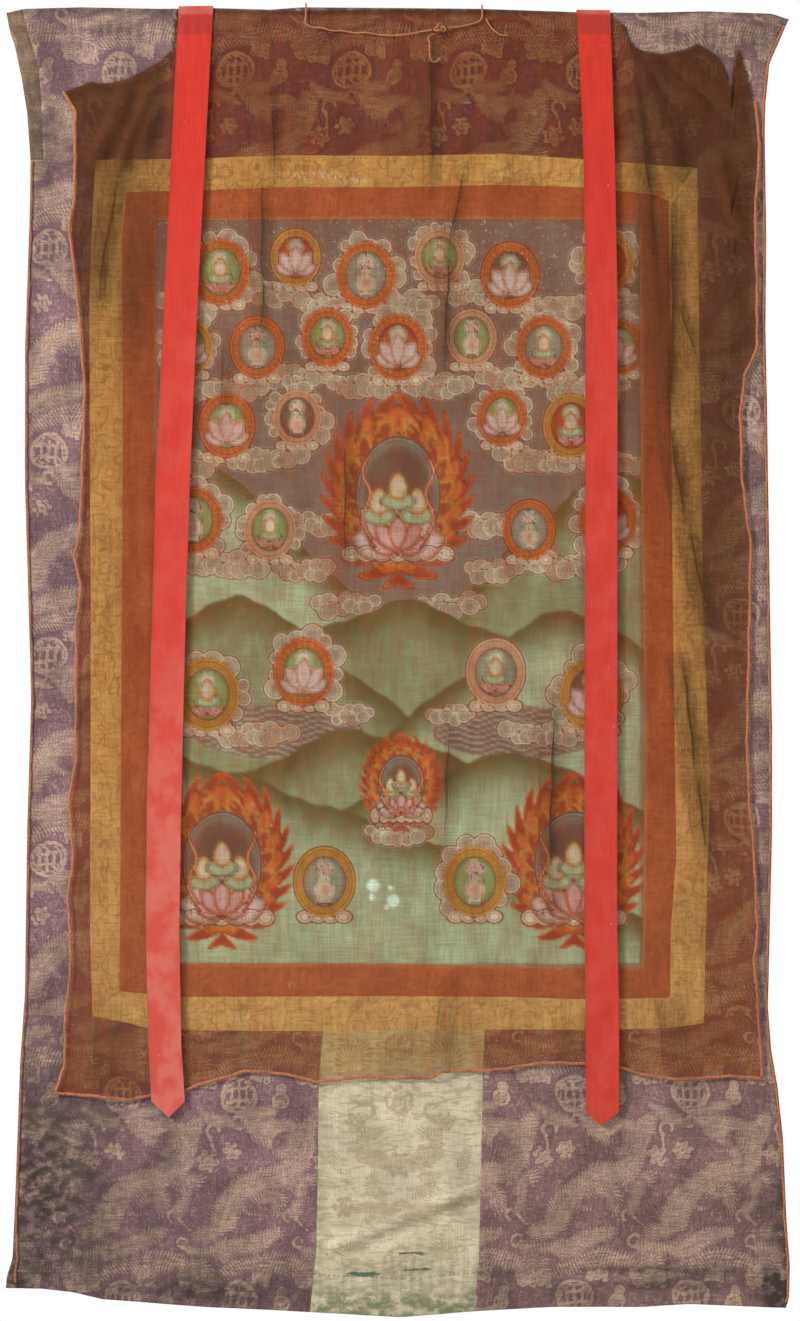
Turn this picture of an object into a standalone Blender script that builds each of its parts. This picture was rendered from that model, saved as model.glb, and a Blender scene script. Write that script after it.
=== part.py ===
"""Hanging scroll painting: a painted cloth in two brocade borders on a damask mount,
with its gauze veil, two ribbons and a cord.

Metres, +Z up, front towards -Y, origin at the middle of the mount's top edge.
The tables are in millimetres as the cloth hangs: across is to the right of the middle
line, down is below the top line, and lift is towards the viewer.
"""

import bmesh
import bpy
import numpy as np

MM = 0.001

# Cloth thicknesses and the gaps between pieces
DAMASK = 1.5
CANVAS = 1.3
GAUZE = 1.0
RIBBON = 1.2
BINDING = 2.0
PIPING = 1.4
SEAM_GAP = 0.3
SEWN_GAP = 0.4
DRAPE_GAP = 2.5
SLEEVE_SLOT = 0.4

# Narrow trims
PIPING_WIDTH = 3.2
BINDING_WIDTH = 4.5
RIBBON_TURN_BACK = 14.0
CORD_THICK = 2.2

# Steps of the grids: columns over the left, door and right parts, and rows of each part
LEFT_STEPS = 5
DOOR_STEPS = 3
RIGHT_STEPS = 5
MARGIN_STEPS = 3
TOP_ROWS = 5
FRAME_ROWS = 18
BOTTOM_ROWS = 6
PIPING_STEP = 26.0
VEIL_COLUMN_STEP = 27.0
VEIL_TOP_ROWS = 10
VEIL_ROWS = 27
VEIL_TOP_DEPTH = 0.17
RIBBON_ROW_STEP = 48.0
TURN_STEPS = 4

# The mount's outline
MOUNT_TOP = (
    # across, down
    (-489, 6), (-467, 1), (-397, -1), (-297, 1), (-231, 0), (-160, 2), (-119, -1), (3, 0),
    (105, 1), (223, 5), (302, 6), (384, 4), (437, 6), (467, 7), (488, 14),
)
MOUNT_BOTTOM = (
    # across, down
    (-489, 1599), (-444, 1600), (-406, 1605), (-370, 1614), (-297, 1620), (-242, 1624),
    (-147, 1628), (-51, 1633), (3, 1636), (97, 1629), (194, 1624), (302, 1624),
    (366, 1620), (484, 1624),
)
MOUNT_LEFT = (
    # down, across
    (6, -489), (28, -485), (50, -478), (88, -470), (132, -463), (190, -459), (255, -460),
    (430, -466), (590, -466), (820, -459), (868, -458), (1028, -463), (1232, -466),
    (1319, -472), (1515, -479), (1562, -481), (1585, -488), (1599, -489),
)
MOUNT_RIGHT = (
    # down, across
    (14, 488), (44, 475), (69, 464), (118, 459), (155, 458), (286, 460), (402, 459),
    (492, 461), (776, 465), (900, 467), (1028, 467), (1248, 462), (1302, 466),
    (1348, 474), (1415, 481), (1515, 485), (1572, 489), (1611, 488), (1624, 484),
)
FACING_SEAM = (
    # down, across
    (2, -469), (33, -462), (51, -456), (79, -449), (109, -446), (155, -445), (190, -443),
)
DOOR_LEFT = (
    # down, across
    (1279, -94), (1344, -99), (1440, -100), (1551, -102), (1628, -110),
)
DOOR_RIGHT = (
    # down, across
    (1277, 108), (1344, 106), (1440, 104), (1568, 101), (1629, 95),
)
RIGHT_MARGIN_TOP = 200
RIGHT_MARGIN_BOTTOM = 1248
LEFT_MARGIN_TOP = 190
LEFT_MARGIN_BOTTOM = 1259
TOP_SLEEVE = 31.0
BOTTOM_SLEEVE = 48.0

# The piping along the side edges, which wanders in where the left hem turns outwards
PIPING_SIDES = {
    # edge, side of the edge that the mount is on, from and to down, wander (down, inwards)
    "edge_piping_left": (MOUNT_LEFT, 1, 192, 1592, ((1500, 0), (1530, 1), (1560, 4), (1590, 9))),
    "edge_piping_right": (MOUNT_RIGHT, -1, 22, 1616, ((22, 0), (1616, 0))),
}

# The brocade window: each ring's four seams, which share their corner rows
YELLOW_OUTER = {
    "top": ((-378, 190), (-240, 188), (-150, 184), (3, 185), (130, 182), (232, 189),
            (321, 196), (374, 200)),
    "left": ((190, -378), (254, -382), (365, -386), (776, -384), (1151, -385), (1260, -382)),
    "bottom": ((-382, 1260), (-335, 1269), (-316, 1275), (-242, 1278), (-94, 1279),
               (3, 1277), (108, 1277), (276, 1277), (340, 1275), (382, 1269)),
    "right": ((200, 374), (365, 376), (776, 382), (964, 390), (1151, 385), (1269, 382)),
}
RED_OUTER = {
    "top": ((-339, 230), (-242, 228), (-150, 224), (3, 224), (124, 221), (232, 224),
            (321, 233), (338, 241)),
    "left": ((230, -339), (292, -345), (556, -344), (882, -346), (1229, -348)),
    "bottom": ((-348, 1229), (-316, 1232), (-267, 1236), (3, 1235), (130, 1236),
               (235, 1239), (340, 1237)),
    "right": ((241, 338), (365, 340), (776, 344), (1059, 348), (1151, 341), (1237, 340)),
}
CANVAS_OUTER = {
    "top": ((-303, 265), (3, 263), (226, 264), (274, 266), (302, 270)),
    "left": ((265, -303), (1194, -303)),
    "bottom": ((-303, 1194), (3, 1195), (276, 1200), (305, 1200)),
    "right": ((270, 302), (588, 304), (900, 309), (1151, 307), (1200, 305)),
}

# How the mount swells and dips as it hangs
MOUNT_SWELLS = (
    # across, down, half width, half height, lift
    (-480, 1610, 80, 90, 9.0),
    (485, 1620, 90, 110, 7.0),
    (-300, 1640, 90, 200, -3.0),
    (-20, 1640, 110, 160, 4.5),
    (230, 1640, 100, 220, -3.0),
    (-460, 850, 70, 260, 3.5),
    (-465, 430, 60, 150, -2.5),
    (465, 1000, 70, 240, 3.0),
    (462, 520, 60, 170, -2.0),
    (-160, 700, 130, 420, 2.5),
    (120, 900, 120, 420, -2.5),
    (60, 1330, 160, 90, 2.0),
)
SWELL_STARTS = 45.0
SWELL_FULL = 220.0

# The gauze veil's outline, fallen at both top corners
VEIL_TOP = (
    # across, down
    (-418, 105), (-386, 93), (-370, 95), (-345, 91), (-319, 79), (-297, 66), (-283, 52),
    (-278, 2), (-160, 4), (3, 2), (105, 3), (223, 7), (267, 8), (287, 24), (292, 44),
    (303, 53), (331, 58), (362, 52), (376, 45), (387, 51), (402, 63), (411, 80),
    (417, 103), (422, 69), (428, 51), (437, 81), (446, 116),
)
VEIL_LEFT = (
    # down, across
    (105, -418), (129, -403), (238, -404), (269, -411), (365, -400), (476, -391),
    (569, -394), (652, -397), (684, -404), (722, -396), (776, -402), (938, -402),
    (995, -411), (1059, -405), (1106, -412), (1190, -408), (1270, -416), (1322, -416),
    (1355, -429),
)
VEIL_RIGHT = (
    # down, across
    (116, 446), (170, 452), (261, 446), (365, 449), (429, 448), (460, 433), (509, 428),
    (589, 430), (636, 436), (668, 441), (915, 436), (995, 439), (1042, 444), (1152, 449),
    (1190, 445), (1252, 450), (1338, 455),
)
VEIL_BOTTOM = (
    # across, down
    (-429, 1355), (-382, 1359), (-335, 1364), (-265, 1351), (-192, 1328), (-137, 1332),
    (-101, 1342), (-51, 1336), (44, 1337), (52, 1328), (108, 1328), (194, 1317),
    (277, 1323), (304, 1333), (361, 1339), (412, 1334), (455, 1338),
)
VEIL_COLUMN_KEYS = (-418, -283, -278, 267, 287, 303, 376, 402, 417, 428, 437, 446)
VEIL_FOLDS = (
    # from across, down, to across, down, half width, lift
    (-282, 59, -319, 181, 14, 6.0),
    (-297, 84, -357, 215, 14, 7.0),
    (-357, 215, -382, 365, 16, 6.0),
    (-339, 111, -376, 187, 16, 8.0),
    (-306, 227, -306, 377, 14, 4.0),
    (-176, 202, -176, 421, 15, 5.0),
    (-226, 412, -226, 524, 15, 3.5),
    (-160, 110, -160, 212, 14, 4.0),
    (-71, 537, -71, 715, 16, 4.0),
    (37, 50, 37, 220, 16, 5.0),
    (77, 197, 56, 309, 15, 4.5),
    (56, 309, 50, 445, 15, 6.0),
    (292, 70, 310, 247, 14, 7.0),
    (310, 247, 324, 401, 15, 6.0),
    (309, 80, 350, 200, 15, 7.0),
    (335, 254, 334, 524, 16, 8.0),
    (334, 524, 356, 652, 16, 7.0),
    (356, 652, 384, 764, 17, 6.0),
    (320, 68, 380, 125, 14, 6.0),
    (354, 72, 417, 116, 13, 6.0),
    (399, 190, 426, 280, 14, 6.0),
    (340, 365, 369, 447, 15, 4.0),
    (346, 820, 366, 964, 16, 7.0),
    (366, 964, 382, 1059, 16, 6.0),
    (216, 740, 216, 995, 14, 5.0),
    (186, 867, 186, 1115, 15, 6.0),
    (55, 884, 55, 1059, 15, 4.0),
    (66, 1226, 50, 1322, 15, 7.0),
    (340, 1232, 340, 1334, 20, 7.0),
    (226, 1257, 194, 1310, 15, 4.0),
    (-360, 1240, -372, 1355, 22, 6.0),
)
FOLD_FREE = 25.0
FOLD_FULL = 58.0

# The two ribbons, from the top edge to their shoulders and points
RIBBONS = {
    "ribbon_left": (
        # down, middle, width
        (0, -252.5, 43), (365, -271, 42), (589, -281, 43), (759, -286, 42),
        (995, -292, 43), (1151, -294, 42), (1296, -291, 41), (1366, -287, 42),
    ),
    "ribbon_right": (
        # down, middle, width
        (0, 244, 42), (181, 251, 39), (365, 254, 40), (1151, 253, 41), (1247, 255, 42),
        (1379, 255, 42),
    ),
}
RIBBON_POINTS = {"ribbon_left": (-286, 1386), "ribbon_right": (254, 1397)}

# The cord's routes, with lift as the height of its middle over the veil's face.
# A hooked end goes over the top edge and ends behind it.
CORD_LEFT = (
    # across, down, lift
    (-115, 12, 2.0), (-116, 19, 2.0), (-106, 25, 2.0), (-97, 25, 2.0), (-82, 29, 2.0),
    (-70, 29, 2.0), (-52, 32, 2.0), (-42, 31, 2.0), (-24, 34, 2.0), (-6, 35, 2.0),
    (15, 33, 2.0), (30, 30, 2.4), (42, 28, 3.0),
)
CORD_RIGHT = (
    # across, down, lift
    (63, 25, 3.0), (75, 24, 2.2), (90, 21, 2.0), (101, 17, 2.0), (105, 12, 2.0),
)
TAIL_KNOT = (
    # across, down, lift
    (45, 33.5, 2.6), (39, 36, 2.0), (38, 41, 2.0), (40, 46, 2.0), (39, 52, 2.0),
    (40, 60, 2.0), (41, 66, 2.0), (46, 69, 2.0), (52, 64, 2.0),
)
TAIL_RIGHT = (
    # across, down, lift
    (110, 14, 2.0), (115, 23, 2.0), (121, 29, 2.0), (128, 34, 2.0), (137, 35, 2.0),
)
KNOT_PLACE = (52.5, 26.0, 3.6)
KNOT_HALF = (9.0, 6.0, 3.2)
HOOK_RADIUS = 4.6
HOOK_BACK_DROP = 9.0
HOOK_STEPS = 6
CORD_POINT_STEP = 5.5

# Colours, roughness
FINISHES = {
    "damask": ((0.30, 0.19, 0.17), 0.75),
    "olive_facing": ((0.24, 0.14, 0.08), 0.8),
    "pale_silk": ((0.51, 0.43, 0.28), 0.6),
    "yellow_brocade": ((0.44, 0.21, 0.07), 0.7),
    "red_brocade": ((0.35, 0.09, 0.04), 0.7),
    "painted_cotton": ((0.24, 0.19, 0.10), 0.85),
    "brown_gauze": ((0.15, 0.06, 0.04), 0.9),
    "orange_binding": ((0.55, 0.19, 0.05), 0.8),
    "red_ribbon": ((0.66, 0.06, 0.04), 0.7),
    "orange_cord": ((0.60, 0.20, 0.08), 0.8),
}


def smooth_step(value, low, high):
    """0 below low, 1 above high, and an S-shaped rise between them."""
    part = np.clip((value - low) / (high - low), 0.0, 1.0)
    return part * part * (3.0 - 2.0 * part)


def lookup(table, place):
    """Second column of a two-column table, read at a place in the first."""
    columns = np.asarray(table, dtype=float)
    return np.interp(place, columns[:, 0], columns[:, 1])


def by_across(table, start, end, steps):
    """Points (across, down) of an across-down table between two places."""
    across = np.linspace(start, end, steps + 1)
    return np.stack([across, lookup(table, across)], axis=1)


def by_down(table, downs):
    """Points (across, down) of a down-across table at the given downs."""
    downs = np.asarray(downs, dtype=float)
    return np.stack([lookup(table, downs), downs], axis=1)


def join(*runs):
    """Runs of points end to end, where each starts at the last one's end."""
    return np.concatenate([runs[0]] + [run[1:] for run in runs[1:]])


def straight(start, end, steps):
    """Evenly spaced points from start to end."""
    part = np.linspace(0.0, 1.0, steps + 1)[:, None]
    return (1.0 - part) * np.asarray(start, float) + part * np.asarray(end, float)


def patch(top, bottom, left, right):
    """Grid between four border lines: the sum of both blends, less the corners' own."""
    u = np.linspace(0.0, 1.0, len(top))[None, :, None]
    v = np.linspace(0.0, 1.0, len(left))[:, None, None]
    side_blend = (1.0 - u) * left[:, None] + u * right[:, None]
    end_blend = (1.0 - v) * top[None] + v * bottom[None]
    corners_top = (1.0 - u) * top[0] + u * top[-1]
    corners_bottom = (1.0 - u) * bottom[0] + u * bottom[-1]
    return side_blend + end_blend - (1.0 - v) * corners_top - v * corners_bottom


def inward(line, inside):
    """Unit vectors square to a border line, on the side where inside lies."""
    along = np.gradient(line, axis=0)
    square = np.stack([-along[:, 1], along[:, 0]], axis=1)
    square /= np.linalg.norm(square, axis=1, keepdims=True)
    side = np.sign(((inside - line) * square).sum(axis=1, keepdims=True))
    return square * side


def seam_inset(grid):
    """Draws a grid's border in by half the seam gap, square to each of its sides."""
    gap = SEAM_GAP / 2
    top = inward(grid[0], grid[1])
    bottom = inward(grid[-1], grid[-2])
    left = inward(grid[:, 0], grid[:, 1])
    right = inward(grid[:, -1], grid[:, -2])
    drawn = grid.copy()
    drawn[0] += gap * top
    drawn[-1] += gap * bottom
    drawn[:, 0] += gap * left
    drawn[:, -1] += gap * right
    corners = ((0, 0, top[0], left[0]), (0, -1, top[-1], right[0]),
               (-1, 0, bottom[0], left[-1]), (-1, -1, bottom[-1], right[-1]))
    for row, column, first, second in corners:
        both = (first + second) / (1.0 + first @ second)
        drawn[row, column] = grid[row, column] + gap * both
    return drawn


def hang(across, down):
    """Lift of the mount's back face: soft swells that start below the top sleeve."""
    lift = np.zeros(np.broadcast(across, down).shape)
    for middle, level, half_width, half_height, height in MOUNT_SWELLS:
        away = ((across - middle) / half_width) ** 2 + ((down - level) / half_height) ** 2
        lift = lift + height * np.exp(-away)
    return lift * smooth_step(down, SWELL_STARTS, SWELL_FULL)


def ribbon_clearance(across, down):
    """0 under the ribbons, which press the veil flat, and 1 well away from them."""
    free = 1.0
    for table in RIBBONS.values():
        middle = lookup([row[:2] for row in table], down)
        free = free * smooth_step(np.abs(across - middle), FOLD_FREE, FOLD_FULL)
    return free


def veil_folds(across, down):
    """Height of the veil's folds: a soft ridge along each row of the fold table."""
    height = np.zeros(np.broadcast(across, down).shape)
    for x0, d0, x1, d1, half_width, lift in VEIL_FOLDS:
        run = np.hypot(x1 - x0, d1 - d0)
        ahead = ((across - x0) * (x1 - x0) + (down - d0) * (d1 - d0)) / run
        aside = ((across - x0) * (d1 - d0) - (down - d0) * (x1 - x0)) / run
        past = np.maximum(np.maximum(-ahead, ahead - run), 0.0)
        ridge = lift * np.exp(-(aside**2 + past**2) / half_width**2)
        height = np.maximum(height, ridge)
    return height * ribbon_clearance(across, down)


def veil_back(across, down):
    """Lift of the veil's back face: close at the top edge, then clear of the mount."""
    below_top = down - lookup(MOUNT_TOP, across)
    clear = SEWN_GAP + (DRAPE_GAP - SEWN_GAP) * smooth_step(below_top, 12.0, 60.0)
    return hang(across, down) + DAMASK + clear + veil_folds(across, down)


def ribbon_back(across, down):
    """Lift of a ribbon's back face: sewn at the top, then clear of the veil."""
    clear = SEWN_GAP + (DRAPE_GAP - SEWN_GAP) * smooth_step(down, 20.0, 80.0)
    return veil_back(across, down) + GAUZE + clear


def material(name):
    """Plain cloth finish."""
    found = bpy.data.materials.get(name)
    if found:
        return found
    colour, roughness = FINISHES[name]
    made = bpy.data.materials.new(name)
    made.use_nodes = True
    shader = made.node_tree.nodes["Principled BSDF"]
    shader.inputs["Base Color"].default_value = (*colour, 1.0)
    shader.inputs["Roughness"].default_value = roughness
    shader.inputs["Metallic"].default_value = 0.0
    return made


def place(across, down, lift):
    """World points in metres of cloth points in millimetres."""
    return np.stack([across, -lift, -down], axis=-1) * MM


def add_object(name, mesh, finish):
    """Puts a mesh in the scene under its name, with its finish."""
    mesh.materials.append(material(finish))
    made = bpy.data.objects.new(name, mesh)
    bpy.context.scene.collection.objects.link(made)
    return made


def solid_sheet(name, front, back, finish):
    """Closed sheet between two grids of world points, with walls along its border."""
    rows, columns = front.shape[:2]
    count = rows * columns
    index = np.arange(count).reshape(rows, columns)
    tiles = np.stack([index[:-1, :-1], index[1:, :-1], index[1:, 1:], index[:-1, 1:]], axis=-1)
    tiles = tiles.reshape(-1, 4)
    rim = np.concatenate([index[0, :-1], index[:-1, -1], index[-1, :0:-1], index[:0:-1, 0]])
    ahead = np.roll(rim, -1)
    walls = np.stack([rim, ahead, ahead + count, rim + count], axis=1)
    faces = np.concatenate([tiles, tiles[:, ::-1] + count, walls])
    points = np.concatenate([front.reshape(-1, 3), back.reshape(-1, 3)])
    mesh = bpy.data.meshes.new(name)
    mesh.from_pydata(points.tolist(), [], faces.tolist())
    built = bmesh.new()
    built.from_mesh(mesh)
    bmesh.ops.recalc_face_normals(built, faces=built.faces)
    built.to_mesh(mesh)
    built.free()
    return add_object(name, mesh, finish)


def flat_sheet(name, grid, thickness, finish):
    """Panel without a hem: its grid on the hanging surface, thickened to the front."""
    across, down = grid[..., 0], grid[..., 1]
    lift = hang(across, down)
    front = place(across, down, lift + thickness)
    return solid_sheet(name, front, place(across, down, lift), finish)


def turned_edge(edge, into, thickness, slot):
    """Section of a turned edge: round the fold from the back layer to the front one.

    Gives (down, lift, down part, lift part) for each step, where lift counts from the
    front layer's middle and the parts are the unit vector to the cloth's outer face.
    into is 1 where the cloth hangs below the edge and -1 where it is above it.
    """
    radius = (thickness + slot) / 2
    middle = edge + into * (thickness / 2 + radius)
    steps = []
    for angle in np.linspace(np.pi, 0.0, TURN_STEPS + 1):
        rise, reach = np.sin(angle), np.cos(angle)
        steps.append((middle - into * radius * rise, radius * (reach - 1), -into * rise, reach))
    return steps


def hemmed_sheet(name, grid, into, thickness, finish):
    """Panel with a sleeve: rows 0 to 2 of its grid are the edge, the sleeve's middle
    and its stitching, and both sleeve rows come again on the back layer."""
    across = [grid[2, :, 0], grid[1, :, 0]]
    down = [grid[2, :, 1], grid[1, :, 1]]
    lift = [-(thickness + SLEEVE_SLOT)] * 2
    parts = [(0.0, -1.0)] * 2
    for step_down, step_lift, down_part, lift_part in turned_edge(
        grid[0, :, 1], into, thickness, SLEEVE_SLOT
    ):
        across.append(grid[0, :, 0])
        down.append(step_down)
        lift.append(step_lift)
        parts.append((down_part, lift_part))
    for row in grid[1:]:
        across.append(row[:, 0])
        down.append(row[:, 1])
        lift.append(0.0)
        parts.append((0.0, 1.0))
    across, down = np.array(across), np.array(down)
    middle = hang(across, down) + thickness / 2 + np.array(lift)[:, None]
    down_out = np.array(parts)[:, :1] * thickness / 2
    lift_out = np.array(parts)[:, 1:] * thickness / 2
    front = place(across, down + down_out, middle + lift_out)
    back = place(across, down - down_out, middle - lift_out)
    return solid_sheet(name, front, back, finish)


def ring_side(ring, side):
    """Points along one side of a brocade ring, at the steps that its neighbours share."""
    table = ring[side]
    first, last = table[0][0], table[-1][0]
    if side in ("left", "right"):
        return by_down(table, np.linspace(first, last, FRAME_ROWS + 1))
    bottom = ring["bottom"]
    span = bottom[-1][0] - bottom[0][0]
    door_from = (DOOR_LEFT[0][1] - bottom[0][0]) / span
    door_to = (DOOR_RIGHT[0][1] - bottom[0][0]) / span
    shares = np.concatenate([
        np.linspace(0.0, door_from, LEFT_STEPS + 1)[:-1],
        np.linspace(door_from, door_to, DOOR_STEPS + 1)[:-1],
        np.linspace(door_to, 1.0, RIGHT_STEPS + 1),
    ])
    across = first + (last - first) * shares
    return np.stack([across, lookup(table, across)], axis=1)


def brocade_bands(prefix, outer, inner, finish):
    """Four mitred bands between two rings."""
    for side in ("top", "right", "bottom", "left"):
        outside, inside = ring_side(outer, side), ring_side(inner, side)
        ends = straight(outside[0], inside[0], 1), straight(outside[-1], inside[-1], 1)
        grid = seam_inset(patch(outside, inside, *ends))
        flat_sheet(f"{prefix}_{side}", grid, DAMASK, finish)


def painted_canvas():
    """The painted cloth inside the red bands."""
    sides = [ring_side(CANVAS_OUTER, side) for side in ("top", "bottom", "left", "right")]
    flat_sheet("painting_canvas", seam_inset(patch(*sides)), CANVAS, "painted_cotton")


def sleeve_downs(edge, into, sleeve, end, steps):
    """Downs of a hemmed panel's rows: edge, sleeve, stitching, then even steps."""
    stitching = edge + into * sleeve
    return np.concatenate([
        [edge, edge + into * sleeve / 2],
        np.linspace(stitching, end, steps + 1),
    ])


def top_panels():
    """Top panel with its sleeve, and the facing strip at its left end."""
    left_downs = sleeve_downs(MOUNT_LEFT[0][0], 1, TOP_SLEEVE, LEFT_MARGIN_TOP, TOP_ROWS)
    seam_downs = sleeve_downs(FACING_SEAM[0][0], 1, TOP_SLEEVE, LEFT_MARGIN_TOP, TOP_ROWS)
    right_downs = sleeve_downs(MOUNT_RIGHT[0][0], 1, TOP_SLEEVE, RIGHT_MARGIN_TOP, TOP_ROWS)
    outer = by_down(MOUNT_LEFT, left_downs)
    seam = by_down(FACING_SEAM, seam_downs)
    right = by_down(MOUNT_RIGHT, right_downs)
    seam[0, 1] = lookup(MOUNT_TOP, seam[0, 0])

    strip_top = by_across(MOUNT_TOP, outer[0, 0], seam[0, 0], 1)
    strip_bottom = straight(outer[-1], seam[-1], 1)
    strip = seam_inset(patch(strip_top, strip_bottom, outer, seam))
    hemmed_sheet("facing_strip", strip, 1, DAMASK, "olive_facing")

    band = ring_side(YELLOW_OUTER, "top")
    bottom = join(
        straight(seam[-1], band[0], MARGIN_STEPS),
        band,
        straight(band[-1], right[-1], MARGIN_STEPS),
    )
    share = (bottom[:, 0] - bottom[0, 0]) / (bottom[-1, 0] - bottom[0, 0])
    across = seam[0, 0] + (right[0, 0] - seam[0, 0]) * share
    top = np.stack([across, lookup(MOUNT_TOP, across)], axis=1)
    hemmed_sheet("mount_top", seam_inset(patch(top, bottom, seam, right)), 1, DAMASK, "damask")


def side_panels():
    """Panels between the brocade window and the mount's two side edges."""
    margins = (
        ("left", MOUNT_LEFT, LEFT_MARGIN_TOP, LEFT_MARGIN_BOTTOM),
        ("right", MOUNT_RIGHT, RIGHT_MARGIN_TOP, RIGHT_MARGIN_BOTTOM),
    )
    for side, edge, start, end in margins:
        outer = by_down(edge, np.linspace(start, end, FRAME_ROWS + 1))
        inner = ring_side(YELLOW_OUTER, side)
        ends = (straight(outer[0], inner[0], MARGIN_STEPS),
                straight(outer[-1], inner[-1], MARGIN_STEPS))
        grid = seam_inset(patch(*ends, outer, inner))
        flat_sheet(f"mount_{side}", grid, DAMASK, "damask")


def bottom_line(seam_line, start, end):
    """Bottom edge points below a seam line's points, at the same shares of the width."""
    share = (seam_line[:, 0] - seam_line[0, 0]) / (seam_line[-1, 0] - seam_line[0, 0])
    across = start + (end - start) * share
    return np.stack([across, lookup(MOUNT_BOTTOM, across)], axis=1)


def bottom_side(table, seam_end, edge_end):
    """Side line of a bottom panel, from the hemmed bottom edge up to its top seam."""
    downs = sleeve_downs(edge_end[1], -1, BOTTOM_SLEEVE, seam_end[1], BOTTOM_ROWS)
    line = by_down(table, downs)
    line[0], line[-1] = edge_end, seam_end
    return line


def bottom_panels():
    """Bottom left, door and bottom right panels, which share the bottom sleeve."""
    band = ring_side(YELLOW_OUTER, "bottom")
    door_from, door_to = LEFT_STEPS, LEFT_STEPS + DOOR_STEPS
    left_end = (lookup(MOUNT_LEFT, LEFT_MARGIN_BOTTOM), LEFT_MARGIN_BOTTOM)
    right_end = (lookup(MOUNT_RIGHT, RIGHT_MARGIN_BOTTOM), RIGHT_MARGIN_BOTTOM)
    seams = {
        "mount_bottom_left": join(straight(left_end, band[0], MARGIN_STEPS),
                                  band[: door_from + 1]),
        "door_panel": band[door_from: door_to + 1],
        "mount_bottom_right": join(band[door_to:], straight(band[-1], right_end, MARGIN_STEPS)),
    }
    borders = {
        "mount_bottom_left": (MOUNT_LEFT, DOOR_LEFT, MOUNT_BOTTOM[0][0], DOOR_LEFT[-1][1]),
        "door_panel": (DOOR_LEFT, DOOR_RIGHT, DOOR_LEFT[-1][1], DOOR_RIGHT[-1][1]),
        "mount_bottom_right": (DOOR_RIGHT, MOUNT_RIGHT, DOOR_RIGHT[-1][1],
                               MOUNT_BOTTOM[-1][0]),
    }
    for name, seam in seams.items():
        left_table, right_table, start, end = borders[name]
        edge = bottom_line(seam, start, end)
        left = bottom_side(left_table, seam[0], edge[0])
        right = bottom_side(right_table, seam[-1], edge[-1])
        finish = "pale_silk" if name == "door_panel" else "damask"
        grid = seam_inset(patch(edge, seam, left, right))
        hemmed_sheet(name, grid, -1, DAMASK, finish)


def edge_piping():
    """Piping on the mount's face along each side edge."""
    for name, (table, side, start, end, wander) in PIPING_SIDES.items():
        steps = round((end - start) / PIPING_STEP)
        line = by_down(table, np.linspace(start, end, steps + 1))
        outer = line[:, 0] + side * (SEAM_GAP + lookup(wander, line[:, 1]))
        inner = outer + side * PIPING_WIDTH
        across = np.stack([outer, inner], axis=1)
        down = np.stack([line[:, 1], line[:, 1]], axis=1)
        lift = hang(across, down) + DAMASK + SEWN_GAP
        front = place(across, down, lift + PIPING)
        solid_sheet(name, front, place(across, down, lift), "orange_binding")


def veil_grid():
    """Grid of the veil: even columns and rows drawn into its fallen outline."""
    first, last = VEIL_TOP[0][0], VEIL_TOP[-1][0]
    keys = np.array(VEIL_COLUMN_KEYS, dtype=float)
    even = np.linspace(first, last, round((last - first) / VEIL_COLUMN_STEP) + 1)
    apart = np.abs(even[:, None] - keys[None]).min(axis=1) > VEIL_COLUMN_STEP / 3
    columns = np.sort(np.concatenate([even[apart], keys]))
    u = ((columns - first) / (last - first))[None, :]
    v = np.concatenate([
        np.linspace(0.0, VEIL_TOP_DEPTH, VEIL_TOP_ROWS + 1)[:-1],
        np.linspace(VEIL_TOP_DEPTH, 1.0, VEIL_ROWS + 1),
    ])[:, None]
    across = first + (last - first) * u + 0.0 * v
    inset = SEAM_GAP + BINDING_WIDTH
    for _ in range(4):
        bottom = lookup(VEIL_BOTTOM, across) - inset
        down = (1.0 - v) * lookup(VEIL_TOP, columns)[None, :] + v * bottom
        left = lookup(VEIL_LEFT, down) + inset
        right = lookup(VEIL_RIGHT, down) - inset
        across = (1.0 - u) * left + u * right
    return across, down


def veil():
    """The gauze, and its binding along the left, bottom and right edges."""
    across, down = veil_grid()
    lift = veil_back(across, down)
    front = place(across, down, lift + GAUZE)
    solid_sheet("veil", front, place(across, down, lift), "brown_gauze")

    corner = SEAM_GAP + BINDING_WIDTH
    bottom_across = across[-1].copy()
    bottom_across[0] -= corner
    bottom_across[-1] += corner
    strips = {
        "veil_binding_left": (across[:, 0], down[:, 0], -1.0, 0.0),
        "veil_binding_right": (across[:, -1], down[:, -1], 1.0, 0.0),
        "veil_binding_bottom": (bottom_across, down[-1], 0.0, 1.0),
    }
    for name, (line, level, aside, below) in strips.items():
        reach = np.array([SEAM_GAP, corner])[None, :]
        strip_across = line[:, None] + aside * reach
        strip_down = level[:, None] + below * reach
        middle = veil_back(line, level)[:, None] + GAUZE / 2 + 0.0 * reach
        front = place(strip_across, strip_down, middle + BINDING / 2)
        back = place(strip_across, strip_down, middle - BINDING / 2)
        solid_sheet(name, front, back, "orange_binding")


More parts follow.
